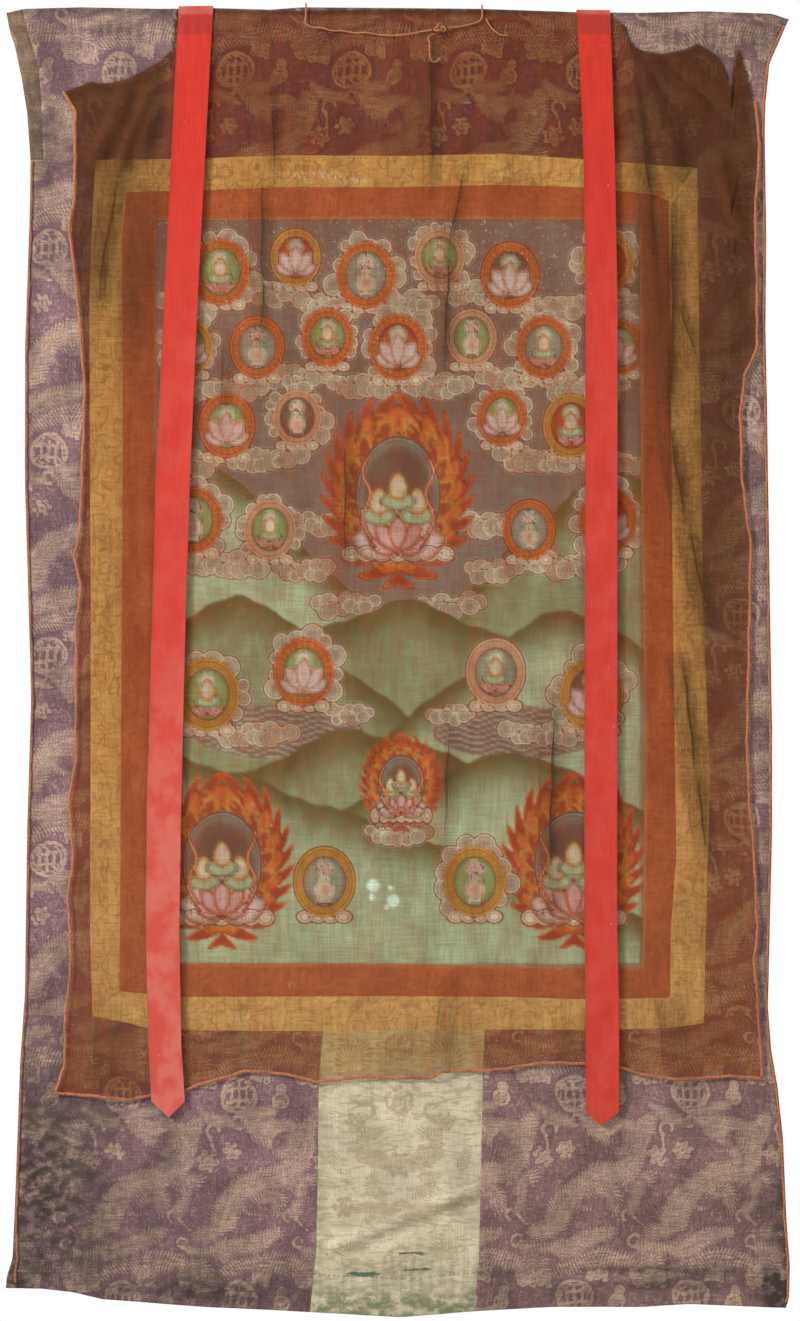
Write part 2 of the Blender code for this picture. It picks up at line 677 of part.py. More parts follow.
def ribbon(name, table):
    """Ribbon with its top turned over the mount's top edge and a pointed lower end."""
    tip_across, tip_down = RIBBON_POINTS[name]
    shoulder = table[-1][0]
    steps = round(shoulder / RIBBON_ROW_STEP)
    share = np.array([0.0, 0.5, 1.0])[None, :]
    halves = [(row[0], row[2] / 2) for row in table]
    middles = [row[:2] for row in table]

    def line_at(level):
        return lookup(middles, level) + (2 * share - 1) * lookup(halves, level)

    top = lookup(MOUNT_TOP, line_at(0.0)) + RIBBON
    near = ribbon_back(line_at(0.0), top) + RIBBON / 2
    far = -DAMASK - SLEEVE_SLOT - SEWN_GAP - RIBBON / 2
    radius, centre = (near - far) / 2, (near + far) / 2
    rows = [(line_at(0.0), top + RIBBON_TURN_BACK, far + 0.0 * top, 0.0, -1.0)]
    for angle in np.linspace(np.pi, 0.0, 2 * TURN_STEPS + 1):
        rise, reach = np.sin(angle), np.cos(angle)
        rows.append((line_at(0.0), top - radius * rise, centre + radius * reach, -rise, reach))
    for level in np.linspace(0.0, shoulder, steps + 1)[1:]:
        down = level + 0.0 * share
        if level == shoulder:
            drop = (tip_down - shoulder) * (1 - np.abs(2 * share - 1))
            down = shoulder + drop
        across = line_at(level)
        across = across + (tip_across - across[0, 1]) * (down - level) / (tip_down - shoulder)
        rows.append((across, down, ribbon_back(across, down) + RIBBON / 2, 0.0, 1.0))
    across, down, middle = (np.concatenate([row[part] for row in rows]) for part in range(3))
    down_out = np.array([[row[3]] for row in rows]) * RIBBON / 2
    lift_out = np.array([[row[4]] for row in rows]) * RIBBON / 2
    front = place(across, down + down_out, middle + lift_out)
    back = place(across, down - down_out, middle - lift_out)
    solid_sheet(name, front, back, "red_ribbon")


def smooth_route(points, step):
    """Even points on the curve that runs smoothly through a route's own points."""
    ends = [2 * points[0] - points[1]], [2 * points[-1] - points[-2]]
    guide = np.concatenate([ends[0], points, ends[1]])
    part = np.linspace(0.0, 1.0, 16, endpoint=False)[:, None]
    pieces = []
    for before, start, end, after in zip(guide, guide[1:], guide[2:], guide[3:]):
        pieces.append(0.5 * (
            2 * start
            + (end - before) * part
            + (2 * before - 5 * start + 4 * end - after) * part**2
            + (3 * start - before - 3 * end + after) * part**3
        ))
    dense = np.concatenate([*pieces, points[-1:]])
    gone = np.concatenate([[0.0], np.cumsum(np.linalg.norm(np.diff(dense, axis=0), axis=1))])
    places = np.linspace(0.0, gone[-1], round(gone[-1] / step) + 1)
    return np.stack([np.interp(places, gone, dense[:, axis]) for axis in range(3)], axis=1)


def cord_points(table, hook_at_start=False, hook_at_end=False):
    """World points of a cord's route, with its hooks over the top edge."""
    rows = np.array(table, dtype=float)
    lift = veil_back(rows[:, 0], rows[:, 1]) + GAUZE + rows[:, 2]
    route = place(rows[:, 0], rows[:, 1], lift)

    def hook(end):
        edge = lookup(MOUNT_TOP, end[0] / MM)
        middle = -end[1] / MM - HOOK_RADIUS
        angles = np.linspace(0.0, np.pi, HOOK_STEPS + 1)
        downs = np.append(edge - HOOK_RADIUS * np.sin(angles), edge + HOOK_BACK_DROP)
        lifts = middle + HOOK_RADIUS * np.append(np.cos(angles), -1.0)
        return place(np.full(len(downs), end[0] / MM), downs, lifts)

    if hook_at_start:
        route = np.concatenate([hook(route[0])[::-1], route])
    if hook_at_end:
        route = np.concatenate([route, hook(route[-1])])
    return smooth_route(route, CORD_POINT_STEP * MM)


def cord(name, points):
    """Round cord along a route, with closed ends."""
    curve = bpy.data.curves.new(name, "CURVE")
    curve.dimensions = "3D"
    curve.bevel_depth = CORD_THICK / 2 * MM
    curve.bevel_resolution = 2
    curve.use_fill_caps = True
    curve.resolution_u = 1
    curve.render_resolution_u = 0
    spline = curve.splines.new("POLY")
    spline.points.add(len(points) - 1)
    for point, place_xyz in zip(spline.points, points):
        point.co = (*place_xyz, 1.0)
    curve.materials.append(material("orange_cord"))
    made = bpy.data.objects.new(name, curve)
    bpy.context.scene.collection.objects.link(made)


def cords():
    """The two lengths of cord, the knot between them and both tails."""
    cord("cord_left", cord_points(CORD_LEFT, hook_at_start=True))
    cord("cord_right", cord_points(CORD_RIGHT, hook_at_end=True))
    cord("cord_tail_knot", cord_points(TAIL_KNOT))
    cord("cord_tail_right", cord_points(TAIL_RIGHT))
    across, down, lift = KNOT_PLACE
    lift = lift + float(veil_back(np.array(across), np.array(down))) + GAUZE
    built = bmesh.new()
    bmesh.ops.create_uvsphere(built, u_segments=12, v_segments=8, radius=MM)
    half_across, half_down, half_lift = KNOT_HALF
    bmesh.ops.scale(built, vec=(half_across, half_lift, half_down), verts=built.verts)
    bmesh.ops.translate(built, vec=(across * MM, -lift * MM, -down * MM), verts=built.verts)
    mesh = bpy.data.meshes.new("cord_knot")
    built.to_mesh(mesh)
    built.free()
    add_object("cord_knot", mesh, "orange_cord")


def main():
    for old in list(bpy.data.objects):
        bpy.data.objects.remove(old, do_unlink=True)
    top_panels()
    side_panels()
    bottom_panels()
    brocade_bands("band_yellow", YELLOW_OUTER, RED_OUTER, "yellow_brocade")
    brocade_bands("band_red", RED_OUTER, CANVAS_OUTER, "red_brocade")
    painted_canvas()
    edge_piping()
    veil()
    for name, table in RIBBONS.items():
        ribbon(name, table)
    cords()


main()
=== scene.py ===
"""Looks of the hanging scroll painting: damask mount, brocade window, painted cloth,
sheer veil, ribbons and cord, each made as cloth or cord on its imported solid.

The tables are in millimetres as the cloth hangs: across is to the right of the middle
line, down is below the top line, and lift is towards the viewer.
"""

import math

import bmesh
import bpy
import numpy as np
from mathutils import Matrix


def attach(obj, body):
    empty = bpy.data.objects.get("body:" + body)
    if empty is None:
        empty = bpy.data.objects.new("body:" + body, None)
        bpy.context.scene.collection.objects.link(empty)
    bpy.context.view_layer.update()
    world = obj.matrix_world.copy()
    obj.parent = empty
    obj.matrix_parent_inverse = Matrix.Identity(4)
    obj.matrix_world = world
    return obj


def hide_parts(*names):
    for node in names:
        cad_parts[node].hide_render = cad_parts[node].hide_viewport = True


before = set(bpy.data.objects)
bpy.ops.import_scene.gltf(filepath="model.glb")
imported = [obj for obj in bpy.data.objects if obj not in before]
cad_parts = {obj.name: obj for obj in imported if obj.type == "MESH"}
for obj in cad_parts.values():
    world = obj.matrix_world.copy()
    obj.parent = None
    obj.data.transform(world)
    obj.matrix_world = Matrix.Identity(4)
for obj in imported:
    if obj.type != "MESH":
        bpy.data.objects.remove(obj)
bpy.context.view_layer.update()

MM = 0.001

# Cloth thicknesses and the gaps between pieces, as in the solids
DAMASK = 1.5
CANVAS = 1.3
GAUZE = 1.0
RIBBON = 1.2
BINDING = 2.0
PIPING = 1.4
SEAM_GAP = 0.3
SEWN_GAP = 0.4
DRAPE_GAP = 2.5
SLEEVE_SLOT = 0.4
PIPING_WIDTH = 3.2
BINDING_WIDTH = 4.5
RIBBON_TURN_BACK = 14.0
CORD_THICK = 2.2
CORD_TURNS = 150.0
TURN_STEPS = 4

# Sizes of the mesh cells, and how many of them a cell of the back layer spans
DAMASK_CELL = 3.0
BAND_CELL = 4.0
CANVAS_CELL = 2.6
GAUZE_CELL = 4.0
RIBBON_CELL = 3.5
BACK_STRIDE = 4
TUBE_STEP = 1.6
BINDING_STEP = 2.0
CORD_STEP = 0.8

# The mount's outline
MOUNT_TOP = (
    # across, down
    (-489, 6), (-467, 1), (-397, -1), (-297, 1), (-231, 0), (-160, 2), (-119, -1), (3, 0),
    (105, 1), (223, 5), (302, 6), (384, 4), (437, 6), (467, 7), (488, 14),
)
MOUNT_BOTTOM = (
    # across, down
    (-489, 1599), (-444, 1600), (-406, 1605), (-370, 1614), (-297, 1620), (-242, 1624),
    (-147, 1628), (-51, 1633), (3, 1636), (97, 1629), (194, 1624), (302, 1624),
    (366, 1620), (484, 1624),
)
MOUNT_LEFT = (
    # down, across
    (6, -489), (28, -485), (50, -478), (88, -470), (132, -463), (190, -459), (255, -460),
    (430, -466), (590, -466), (820, -459), (868, -458), (1028, -463), (1232, -466),
    (1319, -472), (1515, -479), (1562, -481), (1585, -488), (1599, -489),
)
MOUNT_RIGHT = (
    # down, across
    (14, 488), (44, 475), (69, 464), (118, 459), (155, 458), (286, 460), (402, 459),
    (492, 461), (776, 465), (900, 467), (1028, 467), (1248, 462), (1302, 466),
    (1348, 474), (1415, 481), (1515, 485), (1572, 489), (1611, 488), (1624, 484),
)
FACING_SEAM = (
    # down, across
    (2, -469), (33, -462), (51, -456), (79, -449), (109, -446), (155, -445), (190, -443),
)
DOOR_LEFT = (
    # down, across
    (1279, -94), (1344, -99), (1440, -100), (1551, -102), (1628, -110),
)
DOOR_RIGHT = (
    # down, across
    (1277, 108), (1344, 106), (1440, 104), (1568, 101), (1629, 95),
)
RIGHT_MARGIN_TOP = 200
RIGHT_MARGIN_BOTTOM = 1248
LEFT_MARGIN_TOP = 190
LEFT_MARGIN_BOTTOM = 1259
TOP_SLEEVE = 31.0
BOTTOM_SLEEVE = 48.0

# The piping along the side edges: edge, side of the mount, from and to down, wander inwards
PIPING_SIDES = {
    "edge_piping_left": (MOUNT_LEFT, 1, 192, 1592, ((1500, 0), (1530, 1), (1560, 4), (1590, 9))),
    "edge_piping_right": (MOUNT_RIGHT, -1, 22, 1616, ((22, 0), (1616, 0))),
}

# The brocade window: each ring's four seams
YELLOW_OUTER = {
    "top": ((-378, 190), (-240, 188), (-150, 184), (3, 185), (130, 182), (232, 189),
            (321, 196), (374, 200)),
    "left": ((190, -378), (254, -382), (365, -386), (776, -384), (1151, -385), (1260, -382)),
    "bottom": ((-382, 1260), (-335, 1269), (-316, 1275), (-242, 1278), (-94, 1279),
               (3, 1277), (108, 1277), (276, 1277), (340, 1275), (382, 1269)),
    "right": ((200, 374), (365, 376), (776, 382), (964, 390), (1151, 385), (1269, 382)),
}
RED_OUTER = {
    "top": ((-339, 230), (-242, 228), (-150, 224), (3, 224), (124, 221), (232, 224),
            (321, 233), (338, 241)),
    "left": ((230, -339), (292, -345), (556, -344), (882, -346), (1229, -348)),
    "bottom": ((-348, 1229), (-316, 1232), (-267, 1236), (3, 1235), (130, 1236),
               (235, 1239), (340, 1237)),
    "right": ((241, 338), (365, 340), (776, 344), (1059, 348), (1151, 341), (1237, 340)),
}
CANVAS_OUTER = {
    "top": ((-303, 265), (3, 263), (226, 264), (274, 266), (302, 270)),
    "left": ((265, -303), (1194, -303)),
    "bottom": ((-303, 1194), (3, 1195), (276, 1200), (305, 1200)),
    "right": ((270, 302), (588, 304), (900, 309), (1151, 307), (1200, 305)),
}

# How the mount swells and dips as it hangs
MOUNT_SWELLS = (
    # across, down, half width, half height, lift
    (-480, 1610, 80, 90, 9.0),
    (485, 1620, 90, 110, 7.0),
    (-300, 1640, 90, 200, -3.0),
    (-20, 1640, 110, 160, 4.5),
    (230, 1640, 100, 220, -3.0),
    (-460, 850, 70, 260, 3.5),
    (-465, 430, 60, 150, -2.5),
    (465, 1000, 70, 240, 3.0),
    (462, 520, 60, 170, -2.0),
    (-160, 700, 130, 420, 2.5),
    (120, 900, 120, 420, -2.5),
    (60, 1330, 160, 90, 2.0),
)
SWELL_STARTS = 45.0
SWELL_FULL = 220.0

# Creases of the mount, finer than the solids show: troughs are below 0
MOUNT_CREASES = (
    # from across, down, to across, down, half width, lift
    (-80, 1548, 96, 1478, 9, 3.2),
    (-80, 1563, 96, 1493, 9, -3.0),
    (-95, 1486, 40, 1452, 13, -1.8),
    (-60, 1400, 90, 1386, 13, 1.6),
    (20, 1420, 98, 1452, 12, -1.5),
    (202, 1585, 452, 1567, 6, -2.2),
    (202, 1594, 452, 1576, 6, 2.0),
    (290, 1606, 440, 1576, 5, -1.6),
    (202, 1464, 310, 1441, 16, -2.6),
    (230, 1492, 340, 1462, 16, 2.0),
    (330, 1500, 420, 1470, 14, -1.8),
    (120, 1420, 200, 1404, 14, 1.6),
    (-420, 1400, -330, 1420, 14, -1.8),
    (-300, 1450, -180, 1430, 15, -2.2),
    (-320, 1476, -170, 1452, 14, 1.8),
    (-230, 1520, -120, 1500, 12, -1.5),
    (-470, 1530, -300, 1556, 9, -1.8),
    (-478, 1360, -330, 1372, 10, 0.9),
    (-300, 1375, -110, 1352, 9, 0.8),
    (120, 1362, 300, 1345, 9, 0.9),
    (330, 1380, 470, 1368, 9, 0.8),
    (-420, 1470, -250, 1500, 12, 0.7),
    (180, 1450, 420, 1480, 12, 0.7),
    (-455, 60, -380, 175, 9, 1.2),
    (-440, 300, -415, 420, 9, 0.9),
    (-455, 560, -420, 600, 9, 0.9),
    (-450, 760, -420, 700, 9, 0.8),
    (-450, 990, -418, 1040, 9, 0.9),
    (-455, 1130, -425, 1190, 9, 0.9),
    (-60, 1290, -70, 1500, 8, 0.8),
    (60, 1290, 74, 1480, 9, 0.7),
    (6, 1340, 2, 1440, 12, 0.6),
)
SEAM_LAP = 0.35
SEAM_DIP = 0.8
SLEEVE_PUCKER = 0.8
SLEEVE_PUCKER_PITCH = 13.0

# The gauze veil's outline, fallen at both top corners
VEIL_TOP = (
    # across, down
    (-418, 105), (-386, 93), (-370, 95), (-345, 91), (-319, 79), (-297, 66), (-283, 52),
    (-278, 2), (-160, 4), (3, 2), (105, 3), (223, 7), (267, 8), (287, 24), (292, 44),
    (303, 53), (331, 58), (362, 52), (376, 45), (387, 51), (402, 63), (411, 80),
    (417, 103), (422, 69), (428, 51), (437, 81), (446, 116),
)
VEIL_LEFT = (
    # down, across
    (105, -418), (129, -403), (238, -404), (269, -411), (365, -400), (476, -391),
    (569, -394), (652, -397), (684, -404), (722, -396), (776, -402), (938, -402),
    (995, -411), (1059, -405), (1106, -412), (1190, -408), (1270, -416), (1322, -416),
    (1355, -429),
)
VEIL_RIGHT = (
    # down, across
    (116, 446), (170, 452), (261, 446), (365, 449), (429, 448), (460, 433), (509, 428),
    (589, 430), (636, 436), (668, 441), (915, 436), (995, 439), (1042, 444), (1152, 449),
    (1190, 445), (1252, 450), (1338, 455),
)
VEIL_BOTTOM = (
    # across, down
    (-429, 1355), (-382, 1359), (-335, 1364), (-265, 1351), (-192, 1328), (-137, 1332),
    (-101, 1342), (-51, 1336), (44, 1337), (52, 1328), (108, 1328), (194, 1317),
    (277, 1323), (304, 1333), (361, 1339), (412, 1334), (455, 1338),
)
VEIL_COLUMN_KEYS = (-418, -283, -278, 267, 287, 303, 376, 402, 417, 428, 437, 446)
# Share of the veil's height that its closer top rows span, and the height that these and
# the other rows are counted for
VEIL_TOP_DEPTH = 0.17
VEIL_ROW_REACH = (230, 1100)
VEIL_FOLDS = (
    # from across, down, to across, down, half width, lift
    (-282, 59, -319, 181, 14, 6.0),
    (-297, 84, -357, 215, 14, 7.0),
    (-357, 215, -382, 365, 16, 6.0),
    (-339, 111, -376, 187, 16, 8.0),
    (-306, 227, -306, 377, 14, 4.0),
    (-176, 202, -176, 421, 15, 5.0),
    (-226, 412, -226, 524, 15, 3.5),
    (-160, 110, -160, 212, 14, 4.0),
    (-71, 537, -71, 715, 16, 4.0),
    (37, 50, 37, 220, 16, 5.0),
    (77, 197, 56, 309, 15, 4.5),
    (56, 309, 50, 445, 15, 6.0),
    (292, 70, 310, 247, 14, 7.0),
    (310, 247, 324, 401, 15, 6.0),
    (309, 80, 350, 200, 15, 7.0),
    (335, 254, 334, 524, 16, 8.0),
    (334, 524, 356, 652, 16, 7.0),
    (356, 652, 384, 764, 17, 6.0),
    (320, 68, 380, 125, 14, 6.0),
    (354, 72, 417, 116, 13, 6.0),
    (399, 190, 426, 280, 14, 6.0),
    (340, 365, 369, 447, 15, 4.0),
    (346, 820, 366, 964, 16, 7.0),
    (366, 964, 382, 1059, 16, 6.0),
    (216, 740, 216, 995, 14, 5.0),
    (186, 867, 186, 1115, 15, 6.0),
    (55, 884, 55, 1059, 15, 4.0),
    (66, 1226, 50, 1322, 15, 7.0),
    (340, 1232, 340, 1334, 20, 7.0),
    (226, 1257, 194, 1310, 15, 4.0),
    (-360, 1240, -372, 1355, 22, 6.0),
)
# Folds that start lower than this show one pleat line only
LOW_FOLDS = 1200
# Distance from a ribbon's middle at which folds start and are whole
FOLD_FREE = 25.0
FOLD_FULL = 58.0

# The two ribbons, from the top edge to their shoulders and points
RIBBONS = {
    "ribbon_left": (
        # down, middle, width
        (0, -252.5, 43), (365, -271, 42), (589, -281, 43), (759, -286, 42),
        (995, -292, 43), (1151, -294, 42), (1296, -291, 41), (1366, -287, 42),
    ),
    "ribbon_right": (
        # down, middle, width
        (0, 244, 42), (181, 251, 39), (365, 254, 40), (1151, 253, 41), (1247, 255, 42),
        (1379, 255, 42),
    ),
}
RIBBON_POINTS = {"ribbon_left": (-286, 1386), "ribbon_right": (254, 1397)}

# The cord's routes, with lift as the height of its middle over the veil's face
CORD_LEFT = (
    # across, down, lift
    (-115, 12, 2.0), (-116, 19, 2.0), (-106, 25, 2.0), (-97, 25, 2.0), (-82, 29, 2.0),
    (-70, 29, 2.0), (-52, 32, 2.0), (-42, 31, 2.0), (-24, 34, 2.0), (-6, 35, 2.0),
    (15, 33, 2.0), (30, 30, 2.4), (42, 28, 3.0),
)
CORD_RIGHT = (
    # across, down, lift
    (63, 25, 3.0), (75, 24, 2.2), (90, 21, 2.0), (101, 17, 2.0), (105, 12, 2.0),
)
TAIL_KNOT = (
    # across, down, lift
    (45, 33.5, 2.6), (39, 36, 2.0), (38, 41, 2.0), (40, 46, 2.0), (39, 52, 2.0),
    (40, 60, 2.0), (41, 66, 2.0), (46, 69, 2.0), (52, 64, 2.0),
)
TAIL_RIGHT = (
    # across, down, lift
    (110, 14, 2.0), (115, 23, 2.0), (121, 29, 2.0), (128, 34, 2.0), (137, 35, 2.0),
)
KNOT_PLACE = (52.5, 26.0, 3.6)
KNOT_HALF = (9.0, 6.0, 3.2)
HOOK_RADIUS = 4.6
HOOK_BACK_DROP = 9.0
HOOK_STEPS = 6
CORD_POINT_STEP = 5.5

# Where the damask's repeat starts on each panel
REPEAT_ACROSS = 145.0
REPEAT_DOWN = 255.0
REPEAT_STARTS = {
    "facing_strip": (-500, 40),
    "mount_top": (87, 79),
    "mount_left": (-437, 300),
    "mount_right": (430, 250),
    "mount_bottom_left": (-200, 1360),
    "mount_bottom_right": (220, 1356),
}

# Soiled places of the mount; its thin rows along the bottom sleeve are dirt and painted shade in
# the sleeve's creases
SOIL_AND_CREASE_SHADE = (
    # across, down, half width, half height, strength
    (-300, 1561, 190, 5, 0.55),
    (60, 1583, 170, 5, 0.45),
    (330, 1577, 140, 5, 0.5),
    (484, 1530, 26, 130, 0.95),
    (330, 1578, 130, 5, 0.9),
    (350, 1597, 90, 6, 0.8),
    (0, 3, 900, 7, 1.0),
    (-470, 1560, 40, 60, 0.35),
    (-478, 1590, 26, 16, 0.6),
    (-482, 1588, 22, 32, 1.6),
    (-400, 70, 120, 80, 0.16),
    (-448, 150, 34, 130, 0.65),
    (-450, 1480, 120, 200, 1.05),
    (-320, 1500, 90, 140, 0.40),
    (-240, 1604, 170, 26, 1.0),
    (-470, 1500, 7, 90, 0.35),
    (474, 1600, 24, 28, 2.0),
    (190, 1608, 120, 16, 0.4),
    (482, 30, 14, 24, 1.2),
    (370, 32, 110, 26, 0.42),
    (-455, 30, 30, 16, 0.45),
    (-370, 25, 60, 8, 0.5),
    (470, 18, 30, 10, 0.5),
    (300, 30, 60, 10, 0.4),
    (-455, 640, 8, 330, 0.25),
    (462, 700, 6, 420, 0.35),
)

# Rubbed places of the brocade bands
WORN_BANDS = (
    # across, down, half width, half height, strength
    (-104, 210, 38, 7, 1.5),
    (-60, 216, 22, 5, 1.1),
    (-133, 1221, 5, 5, 1.4),
    (-170, 1266, 8, 5, 1.4),
    (-134, 1252, 4, 4, 1.3),
    (150, 205, 40, 6, 0.35),
    (-150, 245, 60, 6, 0.3),
    (-362, 700, 8, 90, 0.35),
    (364, 900, 8, 110, 0.3),
    (40, 1252, 90, 8, 0.35),
    (-200, 1262, 60, 6, 0.4),
)

# Worn slits of the door panel, which show dark green
DOOR_SLITS = (
    # across, down, half width, half height, strength
    (18, 1556, 24, 2.6, 1.0),
    (24, 1576, 22, 2.8, 0.95),
    (-44, 1582, 26, 4.4, 1.0),
    (0, 1612, 48, 4.0, 0.5),
    (30, 1606, 14, 4.0, 0.6),
    (70, 1590, 12, 2.5, 0.5),
    (-84, 1590, 12, 3.0, 0.45),
)

# Places where the gauze is denser, or thinner; denser gauze is also darker, and at the top left and
# down the right side these dense places are painted shade as well as density
VEIL_DENSITY_AND_SHADE = (
    # across, down, half width, half height, added density
    (-345, 150, 90, 90, 0.16),
    (0, 60, 330, 95, 0.03),
    (0, 4, 330, 6, 0.34),
    (400, 120, 90, 110, 0.25),
    (405, 500, 60, 420, 0.24),
    (430, 330, 16, 130, 0.16),
    (-398, 250, 26, 170, 0.22),
    (-335, 520, 40, 420, 0.07),
    (-328, 340, 32, 120, 0.20),
    (302, 560, 22, 420, 0.07),
    (314, 380, 28, 150, 0.15),
    (0, 1000, 260, 200, -0.035),
    (420, 1000, 50, 380, 0.07),
    (-395, 700, 30, 600, 0.06),
    (-390, 1330, 60, 40, 0.08),
)

# Tint of the light that comes through the gauze, for the cloths under it
GAUZE_SHADE = (1.0, 1.0, 0.60, 1.0)

# Light: how much brighter than its own colour a pale cloth shows in this light
LIT = 2.5


def as_seen(red, green, blue):
    """Own colour of a cloth that should show as this linear colour in the scene's light."""
    return (red / LIT, green / LIT, blue / LIT, 1.0)


# Tables and shapes of the hanging cloth


def smooth_step(value, low, high):
    """0 below low, 1 above high, and an S-shaped rise between them."""
    part = np.clip((value - low) / (high - low), 0.0, 1.0)
    return part * part * (3.0 - 2.0 * part)


def lookup(table, at):
    """Second column of a two-column table, read at a place in the first."""
    columns = np.asarray(table, dtype=float)
    return np.interp(at, columns[:, 0], columns[:, 1])


def by_down(table, downs):
    """Points (across, down) of a down-across table at the given downs."""
    downs = np.asarray(downs, dtype=float)
    return np.stack([lookup(table, downs), downs], axis=1)


def down_line(table, start, end, step=4.0):
    """Points along a down-across table between two downs, a step apart."""
    return by_down(table, np.linspace(start, end, max(2, round(abs(end - start) / step) + 1)))


def across_line(table, start, end, step=4.0):
    """Points along an across-down table between two acrosses, a step apart."""
    across = np.linspace(start, end, max(2, round(abs(end - start) / step) + 1))
    return np.stack([across, lookup(table, across)], axis=1)


def join(*runs):
    """Runs of points end to end, where each starts at the last one's end."""
    return np.concatenate([runs[0]] + [run[1:] for run in runs[1:]])


def length_so_far(line):
    """Length of a line from its start to each of its points."""
    return np.append(0.0, np.cumsum(np.linalg.norm(np.diff(line, axis=0), axis=1)))


def evenly(line, steps):
    """The same line with its points spread evenly along its length."""
    gone = length_so_far(line)
    places = np.linspace(0.0, gone[-1], steps + 1)
    return np.stack([np.interp(places, gone, column) for column in line.T], axis=1)


def patch(top, bottom, left, right):
    """Grid between four border lines: the sum of both blends, less the corners' own."""
    u = np.linspace(0.0, 1.0, len(top))[None, :, None]
    v = np.linspace(0.0, 1.0, len(left))[:, None, None]
    side_blend = (1.0 - u) * left[:, None] + u * right[:, None]
    end_blend = (1.0 - v) * top[None] + v * bottom[None]
    corners_top = (1.0 - u) * top[0] + u * top[-1]
    corners_bottom = (1.0 - u) * bottom[0] + u * bottom[-1]
    return side_blend + end_blend - (1.0 - v) * corners_top - v * corners_bottom


def cloth_grid(top, bottom, left, right, cell):
    """Even grid of cells between four border lines."""
    wide = max(np.ptp(top[:, 0]), np.ptp(bottom[:, 0]))
    high = max(np.ptp(left[:, 1]), np.ptp(right[:, 1]))
    columns = max(1, round(wide / cell / BACK_STRIDE)) * BACK_STRIDE
    rows = max(1, round(high / cell / BACK_STRIDE)) * BACK_STRIDE
    return patch(evenly(top, columns), evenly(bottom, columns),
                 evenly(left, rows), evenly(right, rows))


def seam_dip(grid, free=()):
    """Grid with its borders drawn out, and how far each point dips: every seamed border
    goes down into its seam over one cell, and overlaps its neighbour a little."""
    grid = grid.copy()
    dip = np.zeros(grid.shape[:2])
    whole = slice(None)
    borders = {"top": ((0, whole), (1, whole)), "bottom": ((-1, whole), (-2, whole)),
               "left": ((whole, 0), (whole, 1)), "right": ((whole, -1), (whole, -2))}
    for side, (rim, inner) in borders.items():
        if side in free:
            continue
        out = grid[rim] - grid[inner]
        grid[rim] += SEAM_LAP * out / np.linalg.norm(out, axis=1, keepdims=True)
        dip[rim] = SEAM_DIP
    return grid, dip


def ripples(across, down, wave_across, wave_down, seed, waves=7):
    """Uneven soft waves from about -1 to 1: sines in seeded directions and phases."""
    chance = np.random.default_rng(seed)
    total = 0.0
    for _ in range(waves):
        angle, phase = chance.uniform(0.0, 2 * np.pi, 2)
        size = chance.uniform(0.7, 1.6)
        along = np.cos(angle) * across / wave_across + np.sin(angle) * down / wave_down
        total = total + np.sin(2 * np.pi * along * size + phase)
    return total / math.sqrt(waves / 2) / 1.6


def ridges(table, across, down, sharpness=1.0, signed=False):
    """Soft ridge along each row of a fold table: a bell across its line, highest wins.

    With signed, the rows add up, so that troughs count too."""
    height = np.zeros(np.broadcast(across, down).shape)
    for x0, d0, x1, d1, half_width, lift in table:
        run = np.hypot(x1 - x0, d1 - d0)
        ahead = ((across - x0) * (x1 - x0) + (down - d0) * (d1 - d0)) / run
        aside = ((across - x0) * (d1 - d0) - (down - d0) * (x1 - x0)) / run
        past = np.maximum(np.maximum(-ahead, ahead - run), 0.0)
        away = aside**2 * sharpness**2 + past**2
        ridge = lift * np.exp(-away / half_width**2)
        height = height + ridge if signed else np.maximum(height, ridge)
    return height


def bells(table, across, down, steepness=2):
    """A soft bell for each row of a table, as high as the row's last number."""
    for middle, level, half_width, half_height, strength in table:
        away = ((across - middle) / half_width) ** steepness
        yield strength * np.exp(-(away + ((down - level) / half_height) ** 2))


def highest_bell(table, across, down, steepness=2):
    """The highest of a table's bells at each point, or 0."""
    return np.maximum.reduce([0.0 * across, *bells(table, across, down, steepness)])


def hang(across, down):
    """Lift of the mount's back face: soft swells, creases, puckers and faint ripples."""
    lift = sum(bells(MOUNT_SWELLS, across, down))
    lift = lift * smooth_step(down, SWELL_STARTS, SWELL_FULL)
    lift = lift + ridges(MOUNT_CREASES, across, down, signed=True)
    lift = lift + 0.45 * ripples(across, down, 70, 90, 11) * smooth_step(down, 5, 60)
    lift = lift + 0.22 * ripples(across, down, 26, 34, 12) * smooth_step(down, 5, 60)
    edge = lookup(MOUNT_BOTTOM, across)
    for seam, reach in ((lookup(MOUNT_TOP, across) + TOP_SLEEVE, 14.0),
                        (edge - BOTTOM_SLEEVE, 20.0)):
        near = np.exp(-((down - seam) / reach) ** 2)
        wave = np.sin(2 * np.pi * across / SLEEVE_PUCKER_PITCH + 2 * np.sin(across / 31))
        uneven = 0.5 + 0.5 * np.sin(across / 57 + 1.0)
        lift = lift + SLEEVE_PUCKER * near * wave * uneven
        lift = lift - 0.5 * np.exp(-((down - seam) / 2.6) ** 2)
    return lift


def ribbon_clearance(across, down):
    """0 under the ribbons, which press the veil flat, and 1 well away from them."""
    free = 1.0
    for table in RIBBONS.values():
        middle = lookup([row[:2] for row in table], down)
        free = free * smooth_step(np.abs(across - middle), FOLD_FREE, FOLD_FULL)
    return free


def fold_sway(down):
    """How far the veil's folds wander to the side, a slow wave and a quicker one."""
    return 5.0 * np.sin(down / 83 + 0.4) + 2.5 * np.sin(down / 37)


